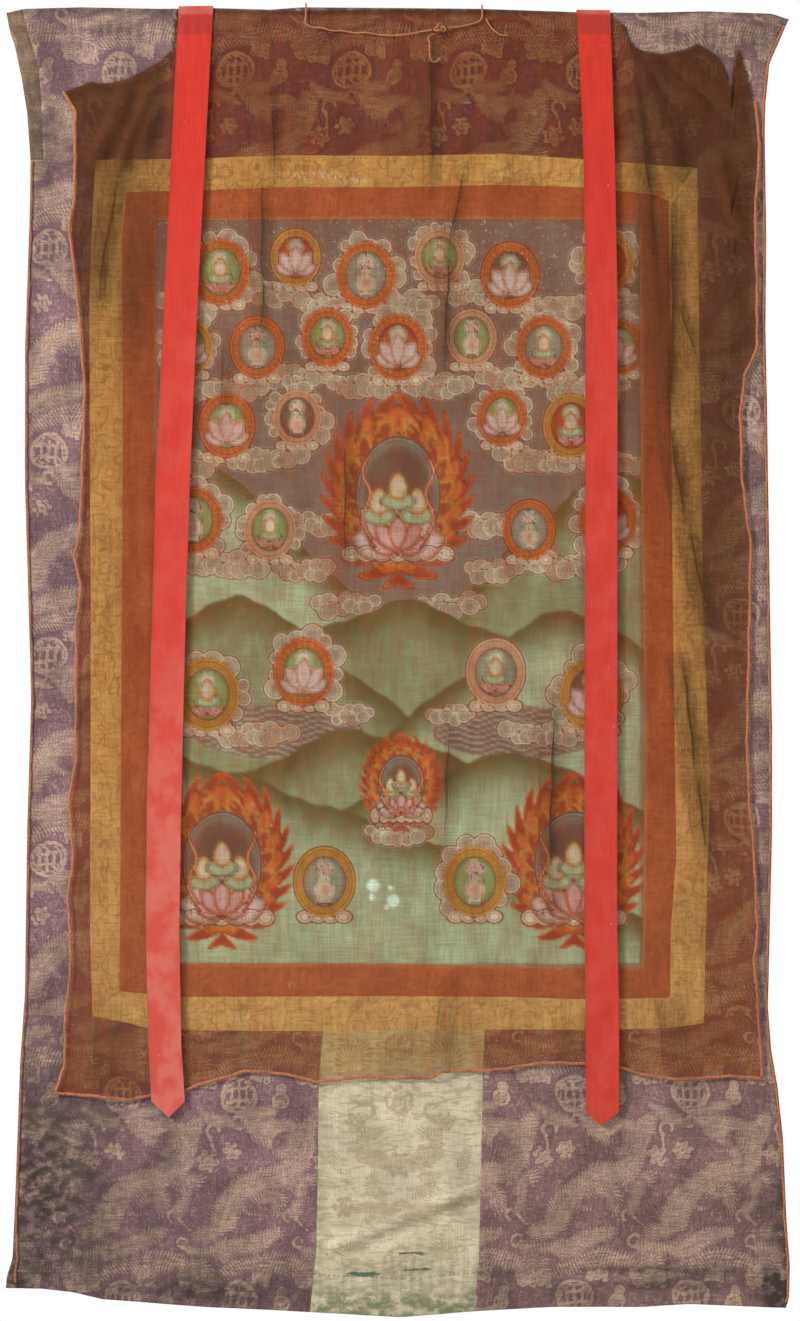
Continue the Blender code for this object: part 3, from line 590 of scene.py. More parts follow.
def veil_folds(across, down):
    """Height of the veil's folds and of the finer waves between them."""
    sway = fold_sway(down)
    main = ridges(VEIL_FOLDS, across + 0.35 * sway, down, sharpness=1.35)
    below_top = down - lookup(VEIL_TOP, across)
    free = smooth_step(below_top, 25.0, 90.0)
    fine = 0.75 * ripples(across + sway, down, 46, 420, 21)
    fine = fine + 0.35 * ripples(across + sway, down, 19, 260, 22)
    fine = fine + 0.30 * ripples(across, down, 60, 60, 23)
    return (main + (fine + 1.3) * free) * ribbon_clearance(across, down)


def veil_back(across, down):
    """Lift of the veil's back face: close at the top edge, then clear of the mount."""
    below_top = down - lookup(MOUNT_TOP, across)
    clear = SEWN_GAP + (DRAPE_GAP - SEWN_GAP) * smooth_step(below_top, 12.0, 60.0)
    return hang(across, down) + DAMASK + clear + veil_folds(across, down)


def ribbon_back(across, down):
    """Lift of a ribbon's back face: sewn at the top, then clear of the veil."""
    clear = SEWN_GAP + (DRAPE_GAP - SEWN_GAP) * smooth_step(down, 20.0, 80.0)
    return veil_back(across, down) + GAUZE + clear


def place(across, down, lift):
    """World points in metres of cloth points in millimetres."""
    return np.stack(np.broadcast_arrays(across, -lift, -down), axis=-1) * MM


# Meshes


def quads(index):
    """Four-cornered faces between the neighbours of an index grid."""
    tiles = np.stack([index[:-1, :-1], index[1:, :-1], index[1:, 1:], index[:-1, 1:]], axis=-1)
    return tiles.reshape(-1, 4)


def mesh_object(name, points, faces, finish, closed=True):
    """Object from an array of points and a list of face arrays, smooth but for its rims."""
    mesh = bpy.data.meshes.new(name)
    polygons = [row for group in faces for row in group.tolist()]
    mesh.from_pydata(points.tolist(), [], polygons)
    if closed:
        built = bmesh.new()
        built.from_mesh(mesh)
        bmesh.ops.recalc_face_normals(built, faces=built.faces)
        built.to_mesh(mesh)
        built.free()
    mesh.polygons.foreach_set("use_smooth", np.ones(len(mesh.polygons), dtype=bool))
    mesh.set_sharp_from_angle(angle=math.radians(50))
    mesh.materials.append(finish)
    made = bpy.data.objects.new(name, mesh)
    bpy.context.scene.collection.objects.link(made)
    return made


def write_attribute(piece, name, values):
    """Writes three numbers a point as a piece's own attribute."""
    made = piece.data.attributes.new(name, "FLOAT_VECTOR", "POINT")
    made.data.foreach_set("vector", np.ascontiguousarray(values, dtype=np.float32).ravel())


def cloth_solid(name, front, back, finish, row_stride=BACK_STRIDE):
    """Closed sheet: a fine front grid, a coarser back one, and walls between them.

    Returns the piece, and a function that spreads a front grid's values and the back's
    over all its points."""
    rows, columns = front.shape[:2]
    kept_rows = np.arange(0, rows, row_stride)
    kept_columns = np.arange(0, columns, BACK_STRIDE)
    back = back[kept_rows][:, kept_columns]
    index = np.arange(rows * columns).reshape(rows, columns)
    behind = rows * columns + np.arange(back.shape[0] * back.shape[1])
    behind = behind.reshape(back.shape[:2])

    def wall(line, back_line, stride):
        starts = np.arange(len(back_line) - 1)[:, None] * stride
        ahead = line[starts + np.arange(stride + 1)[None, :]]
        return np.concatenate([ahead, back_line[1:, None], back_line[:-1, None]], axis=1)

    faces = [
        quads(index),
        quads(behind)[:, ::-1],
        wall(index[0], behind[0], BACK_STRIDE),
        wall(index[-1], behind[-1], BACK_STRIDE),
        wall(index[:, 0], behind[:, 0], row_stride),
        wall(index[:, -1], behind[:, -1], row_stride),
    ]
    points = np.concatenate([front.reshape(-1, 3), back.reshape(-1, 3)])
    piece = mesh_object(name, points, faces, finish)

    def spread(values, behind_values=None):
        behind_values = values if behind_values is None else behind_values
        behind_values = behind_values[kept_rows][:, kept_columns]
        shape = (-1,) + values.shape[2:]
        return np.concatenate([values.reshape(shape), behind_values.reshape(shape)])

    return piece, spread


def dress(piece, nodes):
    """Puts a finished piece on the object's one body, in place of its solids."""
    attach(piece, "root")
    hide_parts(*nodes)


def flat_panel(name, grid, thickness, finish):
    """Panel without a hem: its grid on the hanging surface, thickened to the front."""
    grid, dip = seam_dip(grid)
    across, down = grid[..., 0], grid[..., 1]
    lift = hang(across, down) - dip
    piece, spread = cloth_solid(name, place(across, down, lift + thickness),
                                place(across, down, lift), finish)
    dress(piece, [name_of_solid(name)])
    return piece, spread, across, down


def name_of_solid(name):
    """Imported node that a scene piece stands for: the same name without its ending."""
    return name.removesuffix("_cloth")


def turned_edge(edge, into, thickness, slot):
    """Section of a turned edge: round the fold from the back layer to the front one."""
    radius = (thickness + slot) / 2
    middle = edge + into * (thickness / 2 + radius)
    steps = []
    for angle in np.linspace(np.pi, 0.0, TURN_STEPS + 1):
        up, reach = np.sin(angle), np.cos(angle)
        steps.append((middle - into * radius * up, radius * (reach - 1), -into * up, reach))
    return steps


def hemmed_panel(name, grid, into, sleeve, finish):
    """Panel with a sleeve along its first row: the rows as far as the stitching come
    again on the back layer, and a half turn of cloth joins both layers."""
    grid, dip = seam_dip(grid, free=("top",))
    level = np.abs(grid[:, 0, 1] - grid[0, 0, 1])
    stitched = int(np.argmin(np.abs(level - sleeve)))
    behind = grid[stitched:0:-1]
    turn = turned_edge(grid[0, :, 1], into, DAMASK, SLEEVE_SLOT)
    across = np.concatenate([behind[..., 0], [grid[0, :, 0]] * len(turn), grid[1:, :, 0]])
    down = np.concatenate([behind[..., 1], [step[0] for step in turn], grid[1:, :, 1]])
    back_lift = np.full((len(behind), 1), -(DAMASK + SLEEVE_SLOT))
    turn_lift = np.array([[step[1]] for step in turn])
    lift = np.concatenate([back_lift, turn_lift, np.zeros((len(grid) - 1, 1))])
    down_part = np.concatenate([np.zeros((len(behind), 1)),
                                np.array([[step[2]] for step in turn]),
                                np.zeros((len(grid) - 1, 1))])
    lift_part = np.concatenate([np.full((len(behind), 1), -1.0),
                                np.array([[step[3]] for step in turn]),
                                np.ones((len(grid) - 1, 1))])
    middle = hang(across, down) + DAMASK / 2 + lift
    middle[len(behind) + len(turn):] -= dip[1:]
    half = DAMASK / 2
    front = place(across, down + down_part * half, middle + lift_part * half)
    back = place(across, down - down_part * half, middle - lift_part * half)
    piece, spread = cloth_solid(name, front, back, finish, row_stride=1)
    dress(piece, [name_of_solid(name)])
    return piece, spread, across, down


# Damask pattern: each motif gives its distance in mm, below 0 inside, the phase of the
# strokes that it is combed into, and how strongly they cut it


def ring_with_bars(x, y):
    """Ring round crossed bars: two ring lines, three upright bars and two level ones."""
    away = np.hypot(x, y)
    rings = np.minimum(np.abs(away - 20.5) - 1.7, np.abs(away - 16.0) - 1.0)
    upright = np.minimum(np.abs(x) - 1.6, np.abs(np.abs(x) - 8.5) - 1.5)
    level = np.abs(np.abs(y) - 7.0) - 1.5
    inside = np.maximum(np.minimum(upright, level), away - 13.5)
    return np.minimum(rings, inside), 0.0 * x, 0.0


def feather_fan(x, y):
    """Fan of curved strokes: a part ring whose phase turns with its angle and radius."""
    away, angle = np.hypot(x, y), np.arctan2(x, -y)
    distance = np.maximum(np.abs(away - 14.0) - 10.0, (np.abs(angle) - 1.9) * 12.0)
    return distance, angle * 3.8 + away * 0.10, 0.9


def spread_wings(x, y):
    """Two wings: a bowed band on both sides of a middle, combed into slanting feathers."""
    side = np.abs(x)
    top = -15.0 + 0.0065 * side**2
    bottom = top + 24.0 - 0.26 * side
    distance = np.maximum(np.maximum(top - y, y - bottom), side - 54.0)
    return distance * 0.9, side / 4.1 + y * 0.11, 0.9


def toothed_crescent(x, y):
    """Crescent open downwards with teeth along it: one disc less a lower one."""
    away, angle = np.hypot(x, y), np.arctan2(x, -y)
    distance = np.maximum(away - 21.0, 14.5 - np.hypot(x, y - 7.0))
    return distance, angle * 4.6, 0.75


def fringed_body(x, y):
    """Rounded body with a comb fringe below: an oval over a bowed band of strokes."""
    oval = (np.hypot(x / 1.7, y + 9.0) - 9.0) * 0.9
    bow = y - 4.0 - 10.0 * np.cos(x / 20.0)
    fringe = np.maximum(np.abs(bow) - 6.5, np.abs(x) - 26.0)
    distance = np.minimum(oval, fringe)
    phase = np.where(fringe < oval, x / 3.9, (y + x * 0.3) / 3.2)
    return distance, phase, 0.8


def small_flower(x, y):
    """Six-petalled flower with a ring cut out of it and a hole in its middle."""
    away, angle = np.hypot(x, y), np.arctan2(y, x)
    petals = away - 9.5 - 1.9 * np.cos(6 * angle)
    return np.maximum(petals, np.maximum(0.9 - np.abs(away - 5.6), 1.7 - away)), 0.0 * x, 0.0


def pearl_gourd(x, y):
    """Gourd of a small and a large disc, with a ring cut out of the large one."""
    small, large = np.hypot(x, y + 8.0), np.hypot(x, y - 4.0)
    solid = np.minimum(small - 5.0, large - 8.5)
    return np.maximum(solid, 0.9 - np.abs(large - 4.8)), 0.0 * x, 0.0


def square_cloud(x, y):
    """Crossed bars with a curl at each corner."""
    cross = np.minimum(np.maximum(np.abs(x) - 12, np.abs(y) - 2.6),
                       np.maximum(np.abs(x) - 2.6, np.abs(y) - 9))
    curl = np.hypot(np.abs(x) - 8.5, np.abs(y) - 6.0)
    return np.minimum(cross, np.abs(curl - 3.0) - 1.3), 0.0 * x, 0.0


def veined_leaf(x, y):
    """Leaf: what two discs share, with veins that slant away from its middle line."""
    distance = np.maximum(np.hypot(x + 13, y), np.hypot(x - 13, y)) - 21.5
    return distance, y / 4.2 + np.abs(x) * 0.22, 0.85


def curled_stem(x, y):
    """Curl with a stem: an open ring and a bowed bar from it."""
    away, angle = np.hypot(x, y), np.arctan2(y, x)
    ring = np.maximum(np.abs(away - 6.5) - 1.6, (np.abs(angle) - 2.5) * 6.0)
    stem = np.maximum(np.abs(y - 6.5 - 0.02 * (x + 2) ** 2) - 1.4, np.abs(x + 9.0) - 10.0)
    return np.minimum(ring, stem), 0.0 * x, 0.0


def winding_mass(chain):
    """Motif of a broad winding body: round steps of changing width along a chain.

    The phase runs along the chain, so that its strokes fringe both edges."""
    def motif(x, y):
        distance, phase, gone = np.full(x.shape, 40.0), np.zeros(x.shape), 0.0
        for (x0, y0, r0), (x1, y1, r1) in zip(chain, chain[1:]):
            run = math.hypot(x1 - x0, y1 - y0)
            ahead = ((x - x0) * (x1 - x0) + (y - y0) * (y1 - y0)) / run
            aside = ((x - x0) * (y1 - y0) - (y - y0) * (x1 - x0)) / run
            share = np.clip(ahead / run, 0.0, 1.0)
            near = np.hypot(aside, ahead - share * run) - (r0 + share * (r1 - r0))
            nearer = near < distance
            distance = np.where(nearer, near, distance)
            phase = np.where(nearer, (gone + ahead + 0.6 * np.abs(aside)) / 4.5, phase)
            gone += run
        return distance, phase, 0.68
    return motif


HEAD_MASS = winding_mass(((44, -14, 9), (34, 6, 15), (8, 2, 20), (-16, -4, 15), (-38, -16, 5)))
BODY_MASS = winding_mass(((70, -66, 9), (64, -40, 12), (40, -16, 14), (8, -8, 14), (-16, 4, 13),
                          (-34, 24, 15), (-42, 46, 15), (-56, 62, 6)))
TAIL_MASS = winding_mass(((40, -16, 6), (22, -10, 10), (0, 0, 12), (-22, 8, 11), (-44, 6, 4)))

DAMASK_REPEAT = (
    # motif, across, down, turn in degrees, mirrored, size, radius that it clears
    (HEAD_MASS, 49, 48, 0, 1, 1.0, 0),
    (BODY_MASS, 22, 112, 0, 1, 1.0, 0),
    (TAIL_MASS, 8, 188, 0, 1, 1.0, 0),
    (spread_wings, 30, 212, -6, 1, 1.1, 0),
    (fringed_body, -40, 182, -8, 1, 1.0, 0),
    (ring_with_bars, 0, 0, 0, 1, 1.05, 25),
    (pearl_gourd, 54, 0, 10, 1, 1.25, 15),
    (square_cloud, -42, -22, 0, 1, 1.2, 0),
    (square_cloud, 30, -28, 10, 1, 1.0, 0),
    (TAIL_MASS, 28, 20, -30, -1, 0.55, 0),
    (TAIL_MASS, -26, 30, 40, 1, 0.6, 0),
    (feather_fan, -66, 100, 200, 1, 0.9, 0),
    (feather_fan, 61, 62, 120, 1, 0.72, 17),
    (small_flower, -9, 70, 0, 1, 1.1, 14),
    (small_flower, -39, 80, 15, 1, 1.3, 17),
    (veined_leaf, 80, 118, 5, 1, 0.9, 13),
    (toothed_crescent, 16, 128, -40, 1, 0.9, 0),
    (feather_fan, 40, 134, 40, -1, 0.85, 17),
    (curled_stem, 66, 152, 250, 1, 1.1, 0),
    (veined_leaf, -70, 140, 30, 1, 0.8, 0),
    (curled_stem, 2, 34, 200, 1, 1.1, 0),
    (curled_stem, -30, 44, 60, -1, 1.2, 0),
    (feather_fan, -52, 222, -20, -1, 0.9, 0),
    (curled_stem, 74, 184, 20, -1, 1.0, 0),
    (pearl_gourd, 78, 232, -30, 1, 0.9, 0),
)

# The door's motifs are mirrored about its middle
DOOR_MIDDLE = 2.0
DOOR_MOTIFS = (
    # motif, from the middle, down, turn, mirrored, size, radius that it clears
    (HEAD_MASS, 24, 1440, -30, 1, 0.62, 0),
    (TAIL_MASS, 30, 1500, 20, 1, 0.6, 0),
    (ring_with_bars, 0, 1366, 0, 1, 0.8, 0),
    (feather_fan, 34, 1418, 60, 1, 0.85, 0),
    (feather_fan, 26, 1470, 110, 1, 0.75, 0),
    (small_flower, 0, 1446, 0, 1, 1.5, 0),
    (small_flower, 56, 1392, 0, 1, 1.2, 0),
    (veined_leaf, 80, 1440, 20, 1, 1.0, 0),
    (curled_stem, 40, 1378, 180, 1, 1.3, 0),
    (spread_wings, 0, 1512, 0, 1, 0.9, 0),
    (small_flower, 70, 1498, 0, 1, 1.3, 0),
    (ring_with_bars, 0, 1568, 0, 1, 0.9, 0),
    (feather_fan, 54, 1560, 40, 1, 0.8, 0),
    (ring_with_bars, 0, 1298, 0, 1, 0.8, 0),
    (feather_fan, 54, 1316, 40, 1, 1.1, 0),
)


def turned(x, y, degrees):
    """A point's coordinates in a frame that is turned by some degrees."""
    cosine, sine = math.cos(math.radians(degrees)), math.sin(math.radians(degrees))
    return cosine * x + sine * y, -sine * x + cosine * y


def nearest_motifs(rows, placed, shape):
    """Distance, stroke phase and stroke strength of the nearest motif at each point.

    placed gives a row's own coordinates; within its cleared radius a motif wins anyway."""
    distance = np.full(shape, 30.0)
    phase, combed = np.zeros(shape), np.zeros(shape)
    for motif, right, below, turn, mirrored, size, clears in rows:
        x, y = placed(right, below)
        own_x, own_y = turned(x, y, turn)
        near, strokes, cut = motif(mirrored * own_x / size, own_y / size)
        wins = (near * size < distance) | (np.hypot(x, y) < clears)
        distance = np.where(wins, near * size, distance)
        phase = np.where(wins, strokes, phase)
        combed = np.where(wins, cut, combed)
    return np.clip(distance, -12.0, 12.0), phase, combed


def damask_pattern(across, down, start):
    """The damask's motifs, repeated every 145 mm across and 255 mm down, in a soft sway."""
    sway = 1.8 * np.sin(down / 13 + 1.3 * np.sin(across / 19))
    bob = 1.8 * np.sin(across / 12 + 1.1 * np.sin(down / 17))

    def placed(right, below):
        x = across + sway - start[0] - right
        y = down + bob - start[1] - below
        return ((x + REPEAT_ACROSS / 2) % REPEAT_ACROSS - REPEAT_ACROSS / 2,
                (y + REPEAT_DOWN / 2) % REPEAT_DOWN - REPEAT_DOWN / 2)

    return nearest_motifs(DAMASK_REPEAT, placed, across.shape)


def under_veil(across, down):
    """1 under the veil, where the gauze's shade is painted on the mount, and 0 in the open."""
    left, right = lookup(VEIL_LEFT, down), lookup(VEIL_RIGHT, down)
    inside = np.minimum(across - left, right - across)
    inside = np.minimum(inside, down - lookup(VEIL_TOP, across))
    inside = np.minimum(inside, lookup(VEIL_BOTTOM, across) - down)
    return smooth_step(inside, -4.0, 14.0)


def write_damask(piece, spread, across, down, start):
    """Damask attributes: motif with its distance, phase and strength, the painted shade under the
    veil, and dirt with painted crease shade.
    """
    distance, phase, combed = damask_pattern(across, down, start)
    front = np.stack([distance, phase, combed], axis=-1)
    behind = np.stack([-distance, phase, 0.0 * combed], axis=-1)
    write_attribute(piece, "motif", spread(front, behind))
    covered = under_veil(across, down)
    # Painted shade of the gauze on the cloth under the veil, darkest towards the top
    dark = covered * (0.15 + 0.85 * smooth_step(-down, -900.0, -60.0))
    # Dirt, and painted shade in the bottom sleeve's creases
    soil_and_crease_shade = highest_bell(SOIL_AND_CREASE_SHADE, across, down)
    ageing_and_shade = np.stack([dark, soil_and_crease_shade, covered], axis=-1)
    unseen = np.stack([0.0 * dark, soil_and_crease_shade, 0.0 * covered], axis=-1)
    write_attribute(piece, "ageing_and_shade", spread(ageing_and_shade, unseen))


# Node helpers for the finishes


def put(tree, kind, inputs=None, **settings):
    """New shader node, with its settings and with values or sockets on its inputs."""
    made = tree.nodes.new(kind)
    for name, value in settings.items():
        setattr(made, name, value)
    for name, value in (inputs or {}).items():
        if isinstance(value, bpy.types.NodeSocket):
            tree.links.new(value, made.inputs[name])
        else:
            made.inputs[name].default_value = value
    return made


def calc(tree, operation, *values):
    """Result of one step of arithmetic."""
    return put(tree, "ShaderNodeMath", dict(enumerate(values)), operation=operation).outputs[0]


def times(tree, first, second):
    """Product of two values."""
    return calc(tree, "MULTIPLY", first, second)


def plus(tree, first, second):
    """Sum of two values."""
    return calc(tree, "ADD", first, second)


def minus(tree, first, second):
    """First value less the second."""
    return calc(tree, "SUBTRACT", first, second)


def away_from(tree, value, level):
    """How far a value is from a level, either way."""
    return calc(tree, "ABSOLUTE", minus(tree, value, level))


def rise(tree, value, low, high, bottom=0.0, top=1.0):
    """S-shaped rise from bottom to top while the value goes from low to high."""
    return put(
        tree, "ShaderNodeMapRange",
        {"Value": value, "From Min": low, "From Max": high, "To Min": bottom, "To Max": top},
        interpolation_type="SMOOTHSTEP",
    ).outputs[0]


def blend(tree, share, first, second, how="MIX"):
    """Colour between two colours, or one put over the other in the given way."""
    return put(tree, "ShaderNodeMix", {0: share, 6: first, 7: second},
               data_type="RGBA", blend_type=how).outputs[2]


def tinted(tree, colour, tint):
    """Colour multiplied by a tint."""
    return blend(tree, 1.0, colour, tint, "MULTIPLY")


def toned(tree, colour, tone):
    """Colour multiplied by a grey tone."""
    grey = put(tree, "ShaderNodeCombineColor", {0: tone, 1: tone, 2: tone}).outputs[0]
    return tinted(tree, colour, grey)


def own(tree, name):
    """The piece's own attribute, a vector."""
    return put(tree, "ShaderNodeAttribute", attribute_name=name).outputs["Vector"]


def place_on_piece(tree):
    """Object coordinates, which are the place on the hanging cloth in metres."""
    return put(tree, "ShaderNodeTexCoord").outputs["Object"]


def parts(tree, vector):
    """The three numbers of a vector."""
    return put(tree, "ShaderNodeSeparateXYZ", {"Vector": vector}).outputs


def threads(tree, across, down, detail=2.0, roughness=0.5, distortion=0.0):
    """Noise from 0 to 1 whose grains are so many mm across and down."""
    sized = put(tree, "ShaderNodeMapping",
                {"Vector": place_on_piece(tree),
                 "Scale": (1000 / across, 1000 / across, 1000 / down)})
    return put(tree, "ShaderNodeTexNoise",
               {"Vector": sized.outputs[0], "Scale": 1.0, "Detail": detail,
                "Roughness": roughness, "Distortion": distortion}).outputs["Fac"]


def patches(tree, across, down, low, high):
    """Cloudy tone from low to high in soft patches of so many mm."""
    return rise(tree, threads(tree, across, down, detail=3.0), 0.35, 0.65, low, high)


def through_gauze(tree, colour, covered):
    """Colour with the painted tint of the light through the gauze, where the veil covers it."""
    return blend(tree, covered, colour, tinted(tree, colour, GAUZE_SHADE))


def finish_tree(name, roughness, sheen=0.0, specular=0.3):
    """Material with one Principled shader, and its constant settings on its own sockets."""
    made = bpy.data.materials.new(name)
    made.use_nodes = True
    shader = made.node_tree.nodes["Principled BSDF"]
    shader.inputs["Roughness"].default_value = roughness
    shader.inputs["Specular IOR Level"].default_value = specular
    shader.inputs["Sheen Weight"].default_value = sheen
    shader.inputs["Sheen Roughness"].default_value = 0.4
    return made, made.node_tree, shader


def lay_on(tree, shader, colour, height, strength, depth):
    """Puts a colour on the shader, and a bump from a height between 0 and 1."""
    tree.links.new(colour, shader.inputs["Base Color"])
    bump = put(tree, "ShaderNodeBump",
               {"Height": height, "Strength": strength, "Distance": depth})
    tree.links.new(bump.outputs[0], shader.inputs["Normal"])


def damask_finish(name, ground, figure, soil_and_shade_colour, veil_shade_tint):
    """Two-tone silk: figured strokes over a ground, with thread streaks, dirt, and painted shade
    under the veil and in the bottom sleeve's creases.

    The last colour is the tint of the painted shade of the gauze on the cloth under the veil."""
    made, tree, shader = finish_tree(name, 0.62, sheen=0.04, specular=0.15)
    distance, phase, combed = parts(tree, own(tree, "motif"))
    wobble = threads(tree, 8.0, 9.0, detail=2.0, distortion=1.8)
    loose = calc(tree, "MULTIPLY_ADD", combed, 8.0, 3.0)
    rough_edge = times(tree, minus(tree, wobble, 0.56), loose)
    turns = plus(tree, phase, times(tree, wobble, 0.9))
    wave = calc(tree, "SINE", times(tree, turns, 2 * math.pi))
    fringe = times(tree, times(tree, wave, combed), 2.4)
    edge = plus(tree, plus(tree, distance, rough_edge), fringe)
    shape = rise(tree, edge, 0.45, -0.45)
    contour = rise(tree, away_from(tree, edge, -2.3), 0.75, 0.25)
    shape = times(tree, shape, calc(tree, "MULTIPLY_ADD", contour, -0.55, 1.0))
    rows = calc(tree, "SINE", times(tree, distance, 1.7))
    rows = times(tree, rows, rise(tree, distance, -2.5, -5.0, 0.0, 0.9))
    stripes = rise(tree, plus(tree, wave, rows), 0.45, -0.25)
    gaps = times(tree, times(tree, combed, combed), minus(tree, 1.0, stripes))
    shape = times(tree, shape, minus(tree, 1.0, gaps))
    curls = threads(tree, 11.0, 16.0, detail=1.0, distortion=2.2)
    fill = rise(tree, away_from(tree, curls, 0.5), 0.045, 0.02)
    fill = times(tree, fill, rise(tree, edge, 1.5, 3.5))
    shape = calc(tree, "MAXIMUM", shape, times(tree, fill, 0.5))
    level = threads(tree, 22.0, 1.7, detail=3.0, roughness=0.7)
    upright = threads(tree, 1.5, 16.0, detail=3.0, roughness=0.7)
    specks = threads(tree, 1.9, 1.9, detail=1.0)
    broken = rise(tree, plus(tree, level, times(tree, specks, 0.6)), 0.55, 0.95)
    shape = times(tree, shape, calc(tree, "MULTIPLY_ADD", broken, 0.40, 0.60))
    hue = rise(tree, threads(tree, 60.0, 50.0, detail=2.0), 0.4, 0.62)
    tinged = tinted(tree, figure, (1.0, 1.02, 0.90, 1.0))
    side = parts(tree, place_on_piece(tree))[0]
    vivid = tinted(tree, ground, (0.97, 0.93, 1.24, 1.0))
    base = blend(tree, rise(tree, side, 0.25, -0.30, 0.0, 0.55), ground, vivid)
    colour = blend(tree, shape, base, blend(tree, hue, figure, tinged))
    streaks = plus(tree, times(tree, upright, 0.5), times(tree, level, 0.5))
    tone = rise(tree, streaks, 0.3, 0.7, 0.62, 1.38)
    tone = times(tree, tone, patches(tree, 50.0, 70.0, 0.74, 1.20))
    colour = toned(tree, colour, tone)
    # Painted shade and light tint of the gauze under the veil, and dirt with painted crease shade
    dark, soil_and_crease_shade, covered = parts(tree, own(tree, "ageing_and_shade"))
    deep = blend(tree, shape, (0.21, 0.20, 0.46, 1.0), veil_shade_tint)
    colour = blend(tree, dark, colour, tinted(tree, colour, deep))
    colour = through_gauze(tree, colour, covered)
    # Dirt and painted crease shade, broken into blotches
    blotches = threads(tree, 18.0, 12.0, detail=4.0, roughness=0.65)
    soil_and_crease_shade = times(tree, soil_and_crease_shade, rise(tree, blotches, 0.32, 0.62, 0.25, 1.0))
    colour = blend(tree, soil_and_crease_shade, colour, soil_and_shade_colour)
    crumple = threads(tree, 14.0, 18.0, detail=3.0)
    height = plus(tree, times(tree, streaks, 0.35), times(tree, crumple, 1.3))
    height = plus(tree, height, times(tree, shape, 0.10))
    lay_on(tree, shader, colour, height, 0.5, 0.0012)
    return made


def brocade_finish(name, ground, line, worn, rings):
    """Brocade: darker ring and scroll lines round scattered middles, on streaked ground."""
    made, tree, shader = finish_tree(name, 0.58, sheen=0.03, specular=0.12)
    bend = threads(tree, 34.0, 34.0, detail=2.0)
    sized = put(tree, "ShaderNodeMapping",
                {"Vector": place_on_piece(tree), "Scale": (1000 / rings,) * 3})
    cells = put(tree, "ShaderNodeTexVoronoi",
                {"Vector": sized.outputs[0], "Scale": 1.0, "Randomness": 0.75},
                feature="F1", voronoi_dimensions="3D")
    winding = calc(tree, "MULTIPLY_ADD", cells.outputs["Distance"], 10.0,
                   times(tree, bend, 16.0))
    lines = rise(tree, calc(tree, "ABSOLUTE", calc(tree, "SINE", winding)), 0.40, 0.12)
    leaf = rise(tree, threads(tree, 9.0, 9.0, detail=2.0, distortion=1.2), 0.60, 0.66)
    lines = calc(tree, "MAXIMUM", lines, times(tree, leaf, 0.7))
    level = threads(tree, 18.0, 1.6, detail=3.0, roughness=0.7)
    upright = threads(tree, 1.4, 20.0, detail=3.0, roughness=0.7)
    broken = rise(tree, plus(tree, level, upright), 0.75, 1.2, 0.35, 1.0)
    share = times(tree, lines, broken)
    colour = blend(tree, share, ground, line)
    streaks = times(tree, plus(tree, level, upright), 0.5)
    tone = rise(tree, streaks, 0.3, 0.7, 0.78, 1.22)
    tone = times(tree, tone, patches(tree, 60.0, 90.0, 0.88, 1.12))
    colour = toned(tree, colour, tone)
    rubbed, edge_line, bleached = parts(tree, own(tree, "wear"))
    colour = blend(tree, bleached, colour, worn)
    scratches = rise(tree, threads(tree, 2.2, 7.0, detail=3.0), 0.52, 0.6)
    colour = blend(tree, times(tree, rubbed, scratches), colour, worn)
    colour = blend(tree, times(tree, edge_line, 0.45), colour, worn)
    height = plus(tree, streaks, times(tree, share, 0.5))
    lay_on(tree, shader, colour, height, 0.5, 0.0007)
    return made


def canvas_finish():
    """Painted cloth: its painted colours, brush-drawn outlines, threads and fine wear."""
    made, tree, shader = finish_tree("painted_cotton", 0.85, specular=0.06)
    paint = own(tree, "paint")
    land, cloud, flower = parts(tree, own(tree, "depths"))
    brush = threads(tree, 3.0, 3.0, detail=2.0)
    reach = calc(tree, "MULTIPLY_ADD", brush, 0.9, 0.25)
    strongest = None
    for depth, thickness in ((land, 0.8), (cloud, 1.1), (flower, 0.9)):
        near = away_from(tree, depth, 0.35)
        line = rise(tree, calc(tree, "DIVIDE", near, reach), 1.25 * thickness, 0.7 * thickness)
        strongest = line if strongest is None else calc(tree, "MAXIMUM", strongest, line)
    inner = rise(tree, away_from(tree, cloud, 4.2), 1.0, 0.4)
    second = rise(tree, away_from(tree, flower, 2.6), 0.8, 0.3)
    ink = calc(tree, "MAXIMUM", strongest, times(tree, inner, 0.55))
    ink = calc(tree, "MAXIMUM", ink, times(tree, second, 0.5))
    colour = blend(tree, times(tree, ink, 0.72), paint, as_seen(0.10, 0.035, 0.03))
    upright = threads(tree, 1.3, 40.0, detail=3.0, roughness=0.7)
    level = threads(tree, 40.0, 1.3, detail=3.0, roughness=0.7)
    cloth = times(tree, plus(tree, upright, level), 0.5)
    tone = rise(tree, cloth, 0.35, 0.65, 0.84, 1.16)
    tone = times(tree, tone, patches(tree, 45.0, 60.0, 0.88, 1.1))
    colour = toned(tree, colour, tone)
    level_up = parts(tree, place_on_piece(tree))[2]
    worn = rise(tree, level_up, -0.56, -0.27, 0.0, 0.055)
    specks = threads(tree, 2.6, 4.4, detail=4.0, roughness=0.7)
    flakes = rise(tree, plus(tree, specks, worn), 0.66, 0.71)
    colour = blend(tree, times(tree, flakes, 0.8), colour, as_seen(0.80, 0.72, 0.54))
    lay_on(tree, shader, colour, cloth, 0.4, 0.0005)
    return made


